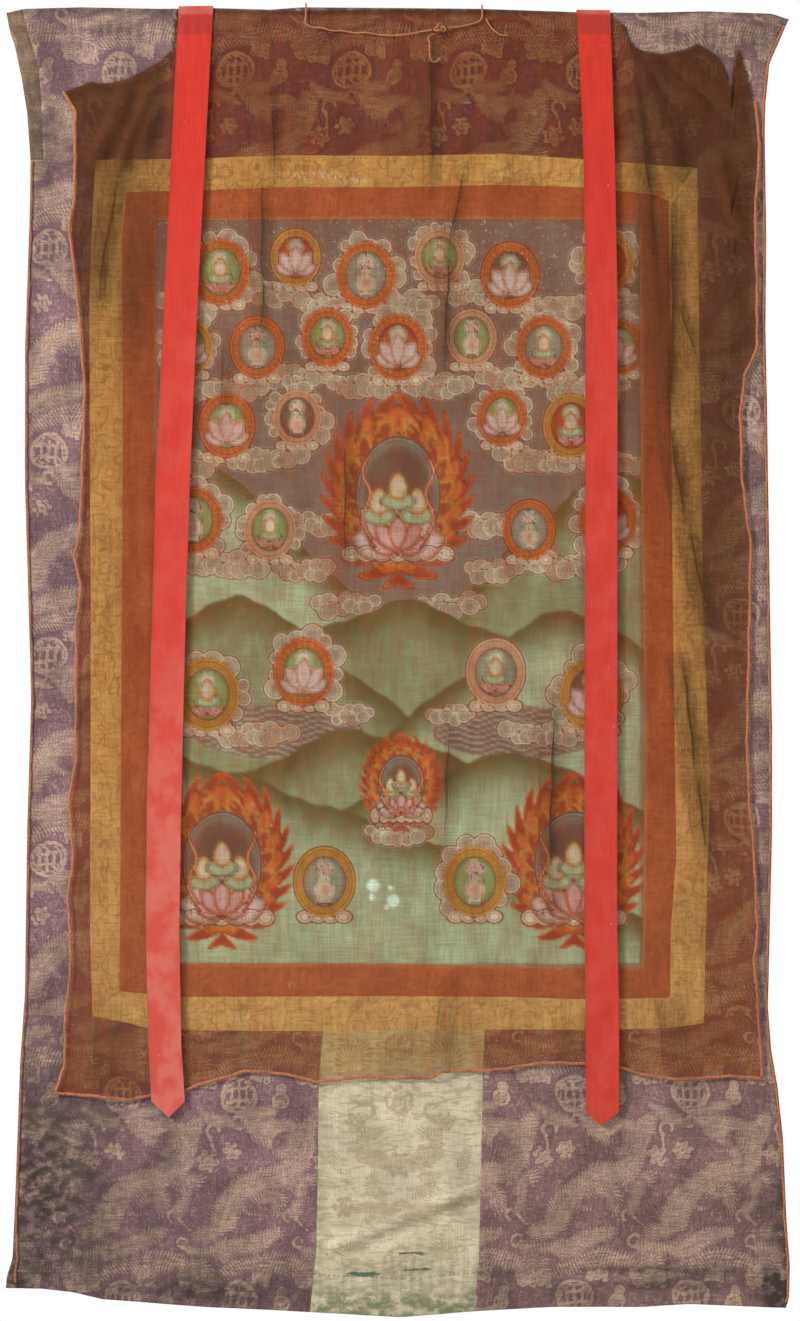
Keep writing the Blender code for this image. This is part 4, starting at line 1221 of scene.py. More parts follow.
def gauze_finish():
    """Sheer gauze: brown threads, denser and darker where it is gathered or folded, with painted
    shade down one side of each fold.
    """
    made, tree, shader = finish_tree("brown_gauze", 0.95, specular=0.0)
    gather_and_shade, edge, _ = parts(tree, own(tree, "gather_and_shade"))
    aside, beside, _ = parts(tree, own(tree, "pleats_and_shade"))
    away = calc(tree, "MULTIPLY_ADD", minus(tree, 1.0, beside), 2.4,
                calc(tree, "ABSOLUTE", aside))
    line = rise(tree, away, 2.6, 0.7, 0.0, 0.34)
    # Painted shade down one side of each fold, beside its pleat line
    flank = rise(tree, aside, -3.0, 3.0, 0.06, 0.26)
    pleats_and_shade = times(tree, rise(tree, beside, 0.15, 0.7), line)
    pleats_and_shade = plus(tree, pleats_and_shade, times(tree, beside, flank))
    gather_and_shade = plus(tree, gather_and_shade, pleats_and_shade)
    upright = threads(tree, 2.4, 30.0, detail=1.0)
    level = threads(tree, 30.0, 2.4, detail=1.0)
    crumple = threads(tree, 7.0, 50.0, detail=1.0)
    cloth = times(tree, plus(tree, upright, level), 0.5)
    density = rise(tree, cloth, 0.36, 0.64, 0.22, 0.42)
    density = plus(tree, density, rise(tree, crumple, 0.35, 0.7, -0.03, 0.06))
    density = plus(tree, density, gather_and_shade)
    density = calc(tree, "MINIMUM", density, 0.93)
    tree.links.new(density, shader.inputs["Alpha"])
    tone = rise(tree, threads(tree, 60.0, 140.0, detail=1.0), 0.3, 0.7)
    colour = blend(tree, tone, as_seen(0.30, 0.048, 0.010), as_seen(0.37, 0.068, 0.018))
    # Darker where denser, which is painted shade at the top left, down the right side and beside
    # the folds
    colour = blend(tree, rise(tree, gather_and_shade, 0.0, 0.3), colour, as_seen(0.125, 0.040, 0.017))
    colour = blend(tree, edge, colour, as_seen(0.09, 0.030, 0.015))
    lay_on(tree, shader, colour, cloth, 0.3, 0.0006)
    return made


def ribbon_finish():
    """Ribbed cotton ribbon: threads down its length, darker edges, faded and deep parts."""
    made, tree, shader = finish_tree("red_ribbon", 0.8, sheen=0.02, specular=0.12)
    side, faded, deep = parts(tree, own(tree, "weave"))
    upright = threads(tree, 1.3, 60.0, detail=3.0, roughness=0.7)
    level = threads(tree, 30.0, 1.5, detail=2.0)
    cloth = plus(tree, times(tree, upright, 0.85), times(tree, level, 0.15))
    colour = blend(tree, rise(tree, cloth, 0.28, 0.74), as_seen(0.57, 0.022, 0.011),
                   as_seen(0.65, 0.042, 0.024))
    colour = blend(tree, rise(tree, side, 0.86, 1.0, 0.0, 0.35), colour,
                   as_seen(0.36, 0.028, 0.02))
    mottled = rise(tree, threads(tree, 24.0, 30.0, detail=3.0), 0.38, 0.62, 0.55, 1.25)
    colour = blend(tree, times(tree, faded, mottled), colour,
                   as_seen(0.66, 0.20, 0.15))
    colour = blend(tree, deep, colour, as_seen(0.42, 0.030, 0.022))
    specks = rise(tree, threads(tree, 3.0, 4.5, detail=2.0), 0.755, 0.78)
    colour = blend(tree, times(tree, specks, 0.7), colour, as_seen(0.8, 0.6, 0.55))
    lay_on(tree, shader, colour, cloth, 0.5, 0.0005)
    return made


def thread_finish(name, colour, dark):
    """Spun thread or bound edge: fine twist streaks, worn dark in places."""
    made, tree, shader = finish_tree(name, 0.8, sheen=0.1)
    twist = threads(tree, 1.4, 1.4, detail=3.0)
    worn = threads(tree, 14.0, 30.0, detail=3.0)
    mixed = blend(tree, rise(tree, twist, 0.35, 0.65), dark, colour)
    mixed = blend(tree, rise(tree, worn, 0.45, 0.7, 0.0, 0.6), mixed, dark)
    lay_on(tree, shader, mixed, twist, 0.6, 0.0004)
    return made


# The painting's design: a made-up one in the same manner, laid on as colour and as the
# depth inside the topmost shape


class Painting:
    """Colours and outline depths over a grid, to which shapes are added back to front."""

    def __init__(self, across, down):
        self.across, self.down = across, down
        self.colour = np.zeros(across.shape + (3,))
        self.depths = np.full(across.shape + (3,), -9.0)

    def wash(self, share, colour):
        """Blends a colour in by a share at each point."""
        share = np.clip(share, 0.0, 1.0)[..., None]
        self.colour += share * (np.asarray(colour) - self.colour)

    def shape(self, depth, layer, rim, heart, fade=9.0, clears=()):
        """Fills where depth is above 0, from rim to heart colour over the fade depth."""
        inside = np.clip(depth / CANVAS_CELL + 0.5, 0.0, 1.0)
        deep = smooth_step(depth, 0.0, fade)[..., None]
        shade = np.asarray(rim) * (1.0 - deep) + np.asarray(heart) * deep
        self.colour += inside[..., None] * (shade - self.colour)
        old = self.depths[..., layer]
        beside = np.where(old > 0.0, old, np.maximum(old, depth))
        self.depths[..., layer] = np.where(depth > 0.0, depth, beside)
        for other in clears:
            self.depths[..., other] = np.where(depth > 0.0, -9.0, self.depths[..., other])


SLATE = (0.185, 0.190, 0.145)
SLATE_PALE = (0.24, 0.25, 0.185)
MINT = (0.46, 0.65, 0.37)
MEADOW = (0.28, 0.41, 0.205)
MINT_DARK = (0.09, 0.15, 0.05)
CLOUD_WHITE = (0.72, 0.68, 0.45)
CLOUD_GREY = (0.36, 0.36, 0.25)
CLOUD_ROSE = (0.62, 0.42, 0.24)
ORANGE = (0.70, 0.17, 0.045)
RED = (0.40, 0.075, 0.035)
GOLD = (0.66, 0.36, 0.07)
LEAF = (0.20, 0.34, 0.12)
NIGHT = (0.12, 0.11, 0.08)
PINK = (0.72, 0.44, 0.26)
WHITE = (0.82, 0.76, 0.52)
BARE_COTTON = (0.42, 0.33, 0.22)
BLUE_GREY = (0.22, 0.30, 0.21)

# Roundels of the design: across, down, half width, aureole colours and what stands in it
ROUNDELS = (
    (-222, 330, 33, ORANGE, LEAF, "jewel"),
    (-128, 312, 29, GOLD, RED, "lotus"),
    (-40, 334, 33, ORANGE, BLUE_GREY, "vase"),
    (52, 312, 29, PINK, LEAF, "jewel"),
    (140, 334, 33, ORANGE, NIGHT, "lotus"),
    (262, 318, 30, GOLD, RED, "vase"),
    (-262, 424, 28, GOLD, LEAF, "lotus"),
    (-176, 424, 31, ORANGE, BLUE_GREY, "vase"),
    (-88, 412, 29, ORANGE, LEAF, "jewel"),
    (0, 424, 33, ORANGE, RED, "lotus"),
    (92, 412, 29, PINK, LEAF, "vase"),
    (182, 424, 31, ORANGE, BLUE_GREY, "jewel"),
    (276, 424, 28, ORANGE, LEAF, "lotus"),
    (-214, 522, 32, ORANGE, LEAF, "lotus"),
    (-126, 512, 28, PINK, NIGHT, "vase"),
    (130, 512, 28, ORANGE, LEAF, "lotus"),
    (216, 522, 32, GOLD, RED, "jewel"),
    (-256, 640, 33, ORANGE, LEAF, "vase"),
    (-160, 652, 30, PINK, LEAF, "jewel"),
    (164, 652, 30, ORANGE, BLUE_GREY, "vase"),
    (262, 640, 33, ORANGE, RED, "lotus"),
    (-118, 830, 34, ORANGE, LEAF, "lotus"),
    (122, 830, 34, PINK, BLUE_GREY, "jewel"),
    (-238, 858, 36, GOLD, LEAF, "jewel"),
    (242, 858, 36, GOLD, NIGHT, "lotus"),
    (-92, 1092, 35, GOLD, BLUE_GREY, "vase"),
    (96, 1092, 35, GOLD, LEAF, "vase"),
)
# Flaming aureoles: across, down, half width, half height
FLAMES = (
    (0, 604, 94, 120),
    (-220, 1066, 88, 108),
    (220, 1066, 88, 108),
    (4, 968, 52, 60),
)
FLAME_ROWS = (
    # licks round the oval, reach, lean, inset, rim and heart colour
    (23, 0.20, 5.0, 0.0, ORANGE, RED),
    (17, 0.17, 4.0, 0.13, RED, ORANGE),
    (15, 0.15, 4.5, 0.26, GOLD, RED),
)
# Pale spots on the finished painting: across, down, size
SPOTS = ((-31, 1097, 8), (-33, 1111, 4), (-6, 1116, 8), (-9, 1100, 3.5), (-14, 1124, 3))
SPOT_GREEN = (1.15, 1.70, 1.35)
# Hills, back to front: peak across, peak down, steepness left and right, roundness, colour
HILLS = (
    (-250, 560, 0.55, 1.00, 20, MINT),
    (268, 575, 0.95, 0.60, 20, MEADOW),
    (10, 742, 0.42, 0.46, 26, MEADOW),
    (-196, 732, 0.62, 0.80, 16, MEADOW),
    (204, 750, 0.78, 0.58, 16, MINT),
    (-60, 902, 0.50, 0.30, 22, MEADOW),
    (150, 930, 0.34, 0.52, 20, MINT),
    (-300, 930, 0.4, 0.36, 24, MINT),
)
# Cloud banks: across, down, puffs, size, length
CLOUD_BANKS = (
    (-262, 368, 5, 13, 56), (-170, 352, 6, 12, 70), (-84, 366, 6, 13, 64),
    (8, 366, 6, 13, 60), (98, 352, 6, 12, 64), (190, 372, 6, 13, 72),
    (278, 366, 5, 12, 50), (-222, 470, 7, 13, 84), (-130, 458, 6, 12, 60),
    (-44, 468, 6, 12, 60), (48, 468, 6, 12, 60), (140, 458, 6, 12, 60),
    (232, 470, 7, 13, 84), (-268, 566, 6, 13, 64), (-170, 560, 7, 13, 84),
    (176, 560, 7, 13, 84), (272, 566, 6, 13, 64),
    (-112, 640, 6, 13, 64), (114, 640, 6, 13, 64), (-64, 742, 6, 12, 60),
    (66, 742, 6, 12, 60), (-214, 690, 8, 13, 100),
    (216, 690, 8, 13, 100), (-118, 700, 5, 11, 50), (120, 700, 5, 11, 50),
    (-180, 902, 7, 12, 80), (182, 902, 7, 12, 80), (-60, 880, 4, 10, 40),
    (66, 880, 4, 10, 40), (0, 1030, 5, 11, 60),
)
# How many of the hills and banks lie behind the water, and how many of the hills far off
FAR_HILLS = 2
HILLS_BEHIND = 5
BANKS_BEHIND = 21
# The painted cloth's edges, from which its dark border is measured inwards
CANVAS_EDGES = (-303, 305, 264, 1197)


def oval_depth(x, y, half_width, half_height):
    """Depth inside an oval in mm, about right near its rim."""
    away = np.hypot(x / half_width, y / half_height)
    return (1.0 - away) * min(half_width, half_height)


def petal_depth(x, y, length, width):
    """Depth inside a pointed petal that stands on its lower end."""
    middle = y + length / 2
    radius = (length**2 / 4 + width**2 / 4) / width
    off = radius - width / 2
    return radius - np.maximum(np.hypot(x + off, middle), np.hypot(x - off, middle))


def paint_lotus(painting, x, y, size, colour=PINK):
    """Open lotus: three rings of petals turned out from its foot, and a seed head."""
    for turns, length, shade in (((-68, 68), 0.85, 0.8), ((-38, 38), 1.0, 0.9), ((0,), 1.1, 1.0)):
        for turn in turns:
            depth = petal_depth(*turned(x, y, turn), size * length, size * 0.52)
            painting.shape(depth, 2, shade * np.array(colour), 0.5 * np.array(colour) + 0.42,
                           size * 0.16)


def paint_jewel(painting, x, y, size):
    """Jewel drop on a small leaf base."""
    drop = size * 0.36 - np.hypot(x * (1.0 + np.clip(-y, 0, None) / size), y + size * 0.45)
    painting.shape(size * 0.24 - np.hypot(x / 2.0, y + size * 0.08), 2, LEAF, MINT, 4.0)
    painting.shape(drop, 2, GOLD, WHITE, size * 0.2)


def paint_vase(painting, x, y, size):
    """Round vase with a foot, a neck and a leaf to each side."""
    body = size * 0.34 - np.hypot(x, y + size * 0.36)
    neck = np.minimum(size * 0.12 - np.abs(x), size * 0.26 - np.abs(y + size * 0.78))
    foot = np.minimum(size * 0.24 - np.abs(x), size * 0.07 - np.abs(y))
    for side in (-1, 1):
        leaf = petal_depth(x * 0.8 - side * size * 0.34 - side * 0.3 * y, y + size * 0.45,
                           size * 0.62, size * 0.26)
        painting.shape(leaf, 2, LEAF, MINT, 4.0)
    painting.shape(np.maximum(np.maximum(body, neck), foot), 2, WHITE, PINK, size * 0.3)


def paint_roundel(painting, middle, level, half_width, ring, field, motif):
    """Lotus seat, ringed aureole, inner field and the motif that stands in it."""
    x, y = painting.across - middle, painting.down - level
    for seat in (-0.72, -0.24, 0.24, 0.72):
        petal = oval_depth(x - seat * half_width * 0.85, y - half_width * 1.12,
                           half_width * 0.30, half_width * 0.22)
        painting.shape(petal, 1, CLOUD_ROSE, WHITE, 5.0)
    outer = oval_depth(x, y, half_width, half_width * 1.14)
    painting.shape(outer, 1, ring, 0.75 * np.array(ring), 9.0, clears=(0, 2))
    angle = np.arctan2(x, -y)
    rays = np.clip(np.sin(angle * 26) * 1.4, 0, 1) * smooth_step(outer, 1.0, 3.0)
    painting.wash(0.35 * rays, GOLD)
    inner = oval_depth(x, y, half_width * 0.68, half_width * 0.80)
    painting.shape(inner, 2, field, 1.25 * np.array(field), 10.0)
    halo = half_width * 0.30 - np.hypot(x, y + half_width * 0.42)
    painting.shape(halo, 2, MINT, WHITE, 8.0)
    foot = y - half_width * 0.62
    size = half_width * 1.12
    if motif == "lotus":
        paint_lotus(painting, x, foot, size * 0.92)
    elif motif == "jewel":
        paint_lotus(painting, x, foot, size * 0.55, ORANGE)
        paint_jewel(painting, x, foot + size * 0.30, size * 0.85)
    else:
        paint_vase(painting, x, foot, size * 0.85)
        paint_lotus(painting, x, foot + size * 0.78, size * 0.34)


def paint_flames(painting, middle, level, half_width, half_height):
    """Flaming aureole: licks in three rows round an oval, its curled fire and its heart."""
    x, y = painting.across - middle, painting.down - level
    away = np.hypot(x / half_width, y / half_height)
    angle = np.arctan2(x, -y)
    for licks, reach, lean, inset, rim, heart in FLAME_ROWS:
        swirl = angle + np.sign(x) * (away - 0.7) * lean / 4
        tongue = np.abs(np.sin(swirl * licks / 2)) ** 0.8
        limit = 1.0 - reach + reach * tongue * 1.2 - inset
        depth = (limit - away) * min(half_width, half_height) * 0.8
        painting.shape(depth, 0, rim, heart, 6.0, clears=(1, 2))
    curls = np.sin(angle * 19 + away * 30) * np.sin(away * 42 + 2 * np.sin(angle * 7))
    painting.wash(0.5 * smooth_step(curls, 0.2, 0.7) * smooth_step(1.0 - away, 0.1, 0.2)
                  * smooth_step(away, 0.45, 0.55), GOLD)
    field = oval_depth(x, y - half_height * 0.05, half_width * 0.56, half_height * 0.62)
    painting.shape(field, 1, BLUE_GREY, NIGHT, 16.0)
    foot = y - half_height * 0.62
    size = half_width
    for seat in np.linspace(-1.0, 1.0, 7):
        petal = oval_depth(x - seat * half_width * 0.62, foot - 4.0, half_width * 0.14, 11.0)
        painting.shape(petal, 1, CLOUD_ROSE, WHITE, 6.0)
    paint_lotus(painting, x, foot - size * 0.06, size * 0.80)
    paint_lotus(painting, x, foot - size * 0.02, size * 0.50, ORANGE)
    for jewel in (-0.34, 0.34, 0.0):
        raised = 0.42 if jewel else 0.62
        paint_jewel(painting, x - jewel * size * 0.75, foot + size * raised, size * 0.52)
    for side in (-1, 1):
        streamer = np.abs(x * side - half_width * 0.42 - 5 * np.sin(foot / 9)) - 2.6
        streamer = np.maximum(streamer, np.abs(foot + half_height * 0.55) - half_height * 0.42)
        painting.shape(-streamer, 2, ORANGE, PINK, 3.0)


def paint_cloud_ring(painting, middle, level, half_width):
    """Wreath of uneven puffs round the upper part of a roundel, pale at their rims."""
    chance = np.random.default_rng(abs(int(3 * middle + 5 * level)))
    for angle in np.radians(np.linspace(-125, 125, 10) + chance.uniform(-9, 9, 10)):
        reach = chance.uniform(1.0, 1.32) * half_width
        x = painting.across - middle - reach * math.sin(angle)
        y = painting.down - level + 1.06 * reach * math.cos(angle)
        radius = half_width * chance.uniform(0.26, 0.48)
        painting.shape(radius - np.hypot(x, y), 1, CLOUD_WHITE, CLOUD_GREY, radius * 0.8,
                       clears=(0, 2))


def paint_hill(painting, peak, level, left, right, roundness, meadow):
    """Hill under a rounded ridge: dark grassed crest fading to pale green below."""
    x = painting.across - peak
    slope = np.where(x < 0.0, left, right)
    ridge = level + slope * (np.hypot(x, roundness) - roundness)
    ridge = ridge + 3.0 * np.sin(painting.across / 19 + peak) + 1.2 * np.sin(painting.across / 6)
    depth = (painting.down - ridge) * 0.85
    painting.shape(depth, 0, MINT_DARK, meadow, 56.0, clears=(1, 2))
    grass = np.abs(np.sin(painting.across / 1.9 + np.sin(painting.down / 4)))
    painting.wash(0.45 * grass * smooth_step(-depth, -11.0, -1.0) * (depth > 0), MINT_DARK)


def paint_clouds(painting, middle, level, puffs, size, length):
    """Bank of curled clouds: overlapping round puffs in two rows, pale at their rims."""
    chance = np.random.default_rng(abs(int(middle * 7 + level)))
    for row in (0, 1):
        count = puffs + 1 - row
        for place_share in np.linspace(-0.5, 0.5, count):
            x = painting.across - middle - place_share * length * (1.15 - 0.35 * row)
            lift = chance.uniform(-0.35, 0.35) * size
            y = painting.down - level - row * size * 0.75 - lift
            radius = size * chance.uniform(0.8, 1.2)
            depth = radius - np.hypot(x, y * 1.12)
            tone = chance.uniform(0.85, 1.1)
            rim = CLOUD_WHITE if chance.random() < 0.75 else CLOUD_ROSE
            painting.shape(depth, 1, tone * np.array(rim), CLOUD_GREY, radius * 0.85,
                           clears=(0, 2))


def painted_design(across, down):
    """The whole painting, from the sky to the roundels in front."""
    painting = Painting(across, down)
    painting.wash(np.ones(across.shape), SLATE)
    painting.wash(0.8 * smooth_step(down, 420.0, 760.0), SLATE_PALE)
    for hill in HILLS[:FAR_HILLS]:
        paint_hill(painting, *hill)
    for bank in CLOUD_BANKS[:BANKS_BEHIND]:
        paint_clouds(painting, *bank)
    for hill in HILLS[FAR_HILLS:HILLS_BEHIND]:
        paint_hill(painting, *hill)
    water = 56.0 - np.hypot((np.abs(across) - 150) / 1.9, (down - 905) * 1.7)
    painting.shape(water, 0, SLATE_PALE, SLATE, 12.0, clears=(1, 2))
    waves = np.abs(np.sin(down / 2.4 + 1.5 * np.sin(across / 9)))
    painting.wash(0.5 * smooth_step(waves, 0.75, 0.98) * (water > 2.0), CLOUD_WHITE)
    for hill in HILLS[HILLS_BEHIND:]:
        paint_hill(painting, *hill)
    for bank in CLOUD_BANKS[BANKS_BEHIND:]:
        paint_clouds(painting, *bank)
    for flame in FLAMES:
        paint_flames(painting, *flame)
    for at, roundel in enumerate(ROUNDELS):
        if at % 3 != 1:
            paint_cloud_ring(painting, *roundel[:3])
        paint_roundel(painting, *roundel[:2], 1.12 * roundel[2], *roundel[3:])
    for middle, level, size in SPOTS:
        away = np.hypot(across - middle, down - level) / size
        painting.wash(0.8 * smooth_step(-away, -1.25, -0.7), SPOT_GREEN)
    left, right, top, bottom = CANVAS_EDGES
    edge = np.minimum(np.minimum(across - left, right - across),
                      np.minimum(down - top, bottom - down))
    painting.wash(0.6 * smooth_step(-edge, -4.0, -2.0), (0.25, 0.13, 0.06))
    return painting


# Panels


def border(ring, side):
    """Border line along a whole side of a ring."""
    table = ring[side]
    walk = down_line if side in ("left", "right") else across_line
    return walk(table, table[0][0], table[-1][0])


def ends_between(first, second):
    """The two short lines that join the ends of two long ones."""
    return [np.stack([first[end], second[end]]) for end in (0, -1)]


def brocade_bands(prefix, outer, inner, finish):
    """Four mitred bands between two rings, with wear towards their inner seam."""
    for side in ("top", "right", "bottom", "left"):
        upright = side in ("left", "right")
        lines = [border(outer, side), border(inner, side)]
        ends = ends_between(*lines)
        grid = cloth_grid(*(ends + lines if upright else lines + ends), BAND_CELL)
        piece, spread, across, down = flat_panel(
            f"{prefix}_{side}_cloth", grid, DAMASK, finish)
        rubbed = highest_bell(WORN_BANDS, across, down)
        share = np.linspace(0.0, 1.0, grid.shape[1 if upright else 0])
        line = smooth_step(share, 0.93, 0.99) if prefix == "band_red" else 0.0 * share
        line = line[None, :] if upright else line[:, None]
        bleached = 0.12 * smooth_step(down, 800.0, 1240.0)
        wear = np.stack([rubbed, line + 0.0 * rubbed, bleached], axis=-1)
        write_attribute(piece, "wear", spread(wear))


def top_panels(damask, facing):
    """Top panel with its sleeve, and the facing strip at its left end."""
    left = down_line(MOUNT_LEFT, MOUNT_LEFT[0][0], LEFT_MARGIN_TOP)
    seam = down_line(FACING_SEAM, FACING_SEAM[0][0], LEFT_MARGIN_TOP)
    right = down_line(MOUNT_RIGHT, MOUNT_RIGHT[0][0], RIGHT_MARGIN_TOP)
    seam[0, 1] = lookup(MOUNT_TOP, seam[0, 0])
    strip_top = across_line(MOUNT_TOP, left[0, 0], seam[0, 0])
    strip_bottom = np.stack([left[-1], seam[-1]])
    grid = cloth_grid(strip_top, strip_bottom, left, seam, DAMASK_CELL)
    piece, spread, across, down = hemmed_panel(
        "facing_strip_cloth", grid, 1, TOP_SLEEVE, facing)
    write_damask(piece, spread, across, down, REPEAT_STARTS["facing_strip"])

    band = border(YELLOW_OUTER, "top")
    bottom = join(np.stack([seam[-1], band[0]]), band, np.stack([band[-1], right[-1]]))
    top = across_line(MOUNT_TOP, seam[0, 0], right[0, 0])
    grid = cloth_grid(top, bottom, seam, right, DAMASK_CELL)
    piece, spread, across, down = hemmed_panel(
        "mount_top_cloth", grid, 1, TOP_SLEEVE, damask)
    write_damask(piece, spread, across, down, REPEAT_STARTS["mount_top"])


def side_panels(damask):
    """Panels between the brocade window and the mount's two side edges."""
    margins = (
        ("left", MOUNT_LEFT, LEFT_MARGIN_TOP, LEFT_MARGIN_BOTTOM),
        ("right", MOUNT_RIGHT, RIGHT_MARGIN_TOP, RIGHT_MARGIN_BOTTOM),
    )
    for side, edge, start, end in margins:
        outer = down_line(edge, start, end)
        inner = border(YELLOW_OUTER, side)
        lines = (outer, inner) if side == "left" else (inner, outer)
        grid = cloth_grid(*ends_between(*lines), *lines, DAMASK_CELL)
        name = f"mount_{side}"
        piece, spread, across, down = flat_panel(
            f"{name}_cloth", grid, DAMASK, damask)
        write_damask(piece, spread, across, down, REPEAT_STARTS[name])


def bottom_panels(damask, silk):
    """Bottom left, door and bottom right panels, which share the bottom sleeve."""
    table = YELLOW_OUTER["bottom"]
    left_end = (lookup(MOUNT_LEFT, LEFT_MARGIN_BOTTOM), LEFT_MARGIN_BOTTOM)
    right_end = (lookup(MOUNT_RIGHT, RIGHT_MARGIN_BOTTOM), RIGHT_MARGIN_BOTTOM)
    first_door, last_door = DOOR_LEFT[0][1], DOOR_RIGHT[0][1]
    seams = {
        "mount_bottom_left": join(np.array([left_end, table[0]], float),
                                  across_line(table, table[0][0], first_door)),
        "door_panel": across_line(table, first_door, last_door),
        "mount_bottom_right": join(across_line(table, last_door, table[-1][0]),
                                   np.array([table[-1], right_end], float)),
    }
    sides = {
        "mount_bottom_left": (MOUNT_LEFT, DOOR_LEFT, MOUNT_BOTTOM[0][0], DOOR_LEFT[-1][1]),
        "door_panel": (DOOR_LEFT, DOOR_RIGHT, DOOR_LEFT[-1][1], DOOR_RIGHT[-1][1]),
        "mount_bottom_right": (DOOR_RIGHT, MOUNT_RIGHT, DOOR_RIGHT[-1][1], MOUNT_BOTTOM[-1][0]),
    }
    for name, seam in seams.items():
        left_table, right_table, start, end = sides[name]
        edge = across_line(MOUNT_BOTTOM, start, end)
        left = down_line(left_table, edge[0, 1], seam[0, 1])
        right = down_line(right_table, edge[-1, 1], seam[-1, 1])
        left[0], left[-1] = edge[0], seam[0]
        right[0], right[-1] = edge[-1], seam[-1]
        grid = cloth_grid(edge, seam, left, right, DAMASK_CELL)
        finish, slot = (silk, "pale_silk") if name == "door_panel" else (damask, "damask")
        piece, spread, across, down = hemmed_panel(
            f"{name}_cloth", grid, -1, BOTTOM_SLEEVE, finish)
        if name == "door_panel":
            write_door(piece, spread, across, down)
        else:
            write_damask(piece, spread, across, down, REPEAT_STARTS[name])


def write_door(piece, spread, across, down):
    """Door attributes: mirrored motifs about its middle, the gauze's painted shade, dirt with
    painted crease shade, and dark green slits.
    """
    def placed(off, level):
        return np.abs(across - DOOR_MIDDLE) - off, down - level

    distance, phase, combed = nearest_motifs(DOOR_MOTIFS, placed, across.shape)
    front = np.stack([distance, phase, combed], axis=-1)
    write_attribute(piece, "motif", spread(front))
    slits = highest_bell(DOOR_SLITS, across, down, steepness=4)
    covered = under_veil(across, down)
    # Dirt with painted crease shade along the bottom sleeve's stitching, also strong below it and
    # along the left seam
    soil_and_crease_shade = np.maximum(0.35 * np.exp(-((down - 1578) / 16) ** 2),
                      0.95 * smooth_step(down, 1575, 1622))
    soil_and_crease_shade = np.maximum(soil_and_crease_shade, 0.75 * np.exp(-((across + 106) / 14) ** 2))
    ageing_and_shade = np.stack([covered, soil_and_crease_shade, slits], axis=-1)
    unseen = np.stack([0.0 * covered, soil_and_crease_shade, slits], axis=-1)
    write_attribute(piece, "ageing_and_shade", spread(ageing_and_shade, unseen))


def door_finish():
    """Pale silk: faint tan figures, upright threads, dirt with painted crease shade, the painted
    light tint of the gauze and dark green worn slits.
    """
    made, tree, shader = finish_tree("pale_silk", 0.5, sheen=0.08, specular=0.3)
    distance, phase, combed = parts(tree, own(tree, "motif"))
    wobble = threads(tree, 8.0, 8.0, detail=3.0, distortion=1.6)
    edge = plus(tree, distance, times(tree, wobble, 9.0))
    shape = rise(tree, edge, 6.2, 3.4)
    turns = times(tree, phase, 2 * math.pi)
    stripes = rise(tree, calc(tree, "SINE", turns), -0.7, 0.6)
    gaps = times(tree, combed, minus(tree, 1.0, stripes))
    shape = times(tree, shape, minus(tree, 1.0, gaps))
    level = threads(tree, 20.0, 1.5, detail=2.0)
    upright = threads(tree, 1.5, 60.0, detail=3.0, roughness=0.7)
    shape = times(tree, shape, rise(tree, level, 0.3, 0.6, 0.45, 1.0))
    colour = blend(tree, times(tree, shape, 0.85), as_seen(0.60, 0.51, 0.34),
                   as_seen(0.36, 0.265, 0.135))
    tone = rise(tree, upright, 0.3, 0.7, 0.86, 1.12)
    tone = times(tree, tone, patches(tree, 50.0, 80.0, 0.86, 1.12))
    tone = times(tree, tone, rise(tree, level, 0.3, 0.7, 0.92, 1.07))
    colour = toned(tree, colour, tone)
    stains = rise(tree, threads(tree, 34.0, 9.0, detail=4.0, distortion=2.2), 0.48, 0.62)
    colour = blend(tree, times(tree, stains, 0.62), colour, as_seen(0.37, 0.275, 0.14))
    # Painted light tint of the gauze under the veil, dirt with painted crease shade, and worn slits
    covered, soil_and_crease_shade, slits = parts(tree, own(tree, "ageing_and_shade"))
    colour = through_gauze(tree, colour, covered)
    blotches = rise(tree, threads(tree, 16.0, 10.0, detail=4.0, roughness=0.65), 0.35, 0.6)
    colour = blend(tree, times(tree, soil_and_crease_shade, blotches), colour, as_seen(0.16, 0.17, 0.08))
    ragged = threads(tree, 7.0, 3.0, detail=4.0, roughness=0.7)
    ragged = times(tree, ragged, 1.2)
    torn = rise(tree, plus(tree, times(tree, slits, 0.80), ragged), 1.0, 1.2)
    colour = blend(tree, torn, colour, as_seen(0.075, 0.115, 0.06))
    height = plus(tree, upright, times(tree, threads(tree, 16.0, 24.0), 1.6))
    lay_on(tree, shader, colour, height, 0.45, 0.0009)
    return made


def painted_canvas(finish):
    """The painted cloth inside the red bands; its back is bare cotton."""
    lines = [border(CANVAS_OUTER, side) for side in ("top", "bottom", "left", "right")]
    grid = cloth_grid(*lines, CANVAS_CELL)
    piece, spread, across, down = flat_panel(
        "painting_canvas_cloth", grid, CANVAS, finish)
    painting = painted_design(across, down)
    bare = np.broadcast_to(np.array(BARE_COTTON), painting.colour.shape)
    write_attribute(piece, "paint", spread(painting.colour / LIT, bare / LIT))
    write_attribute(piece, "depths", spread(painting.depths, 0.0 * painting.depths - 9.0))


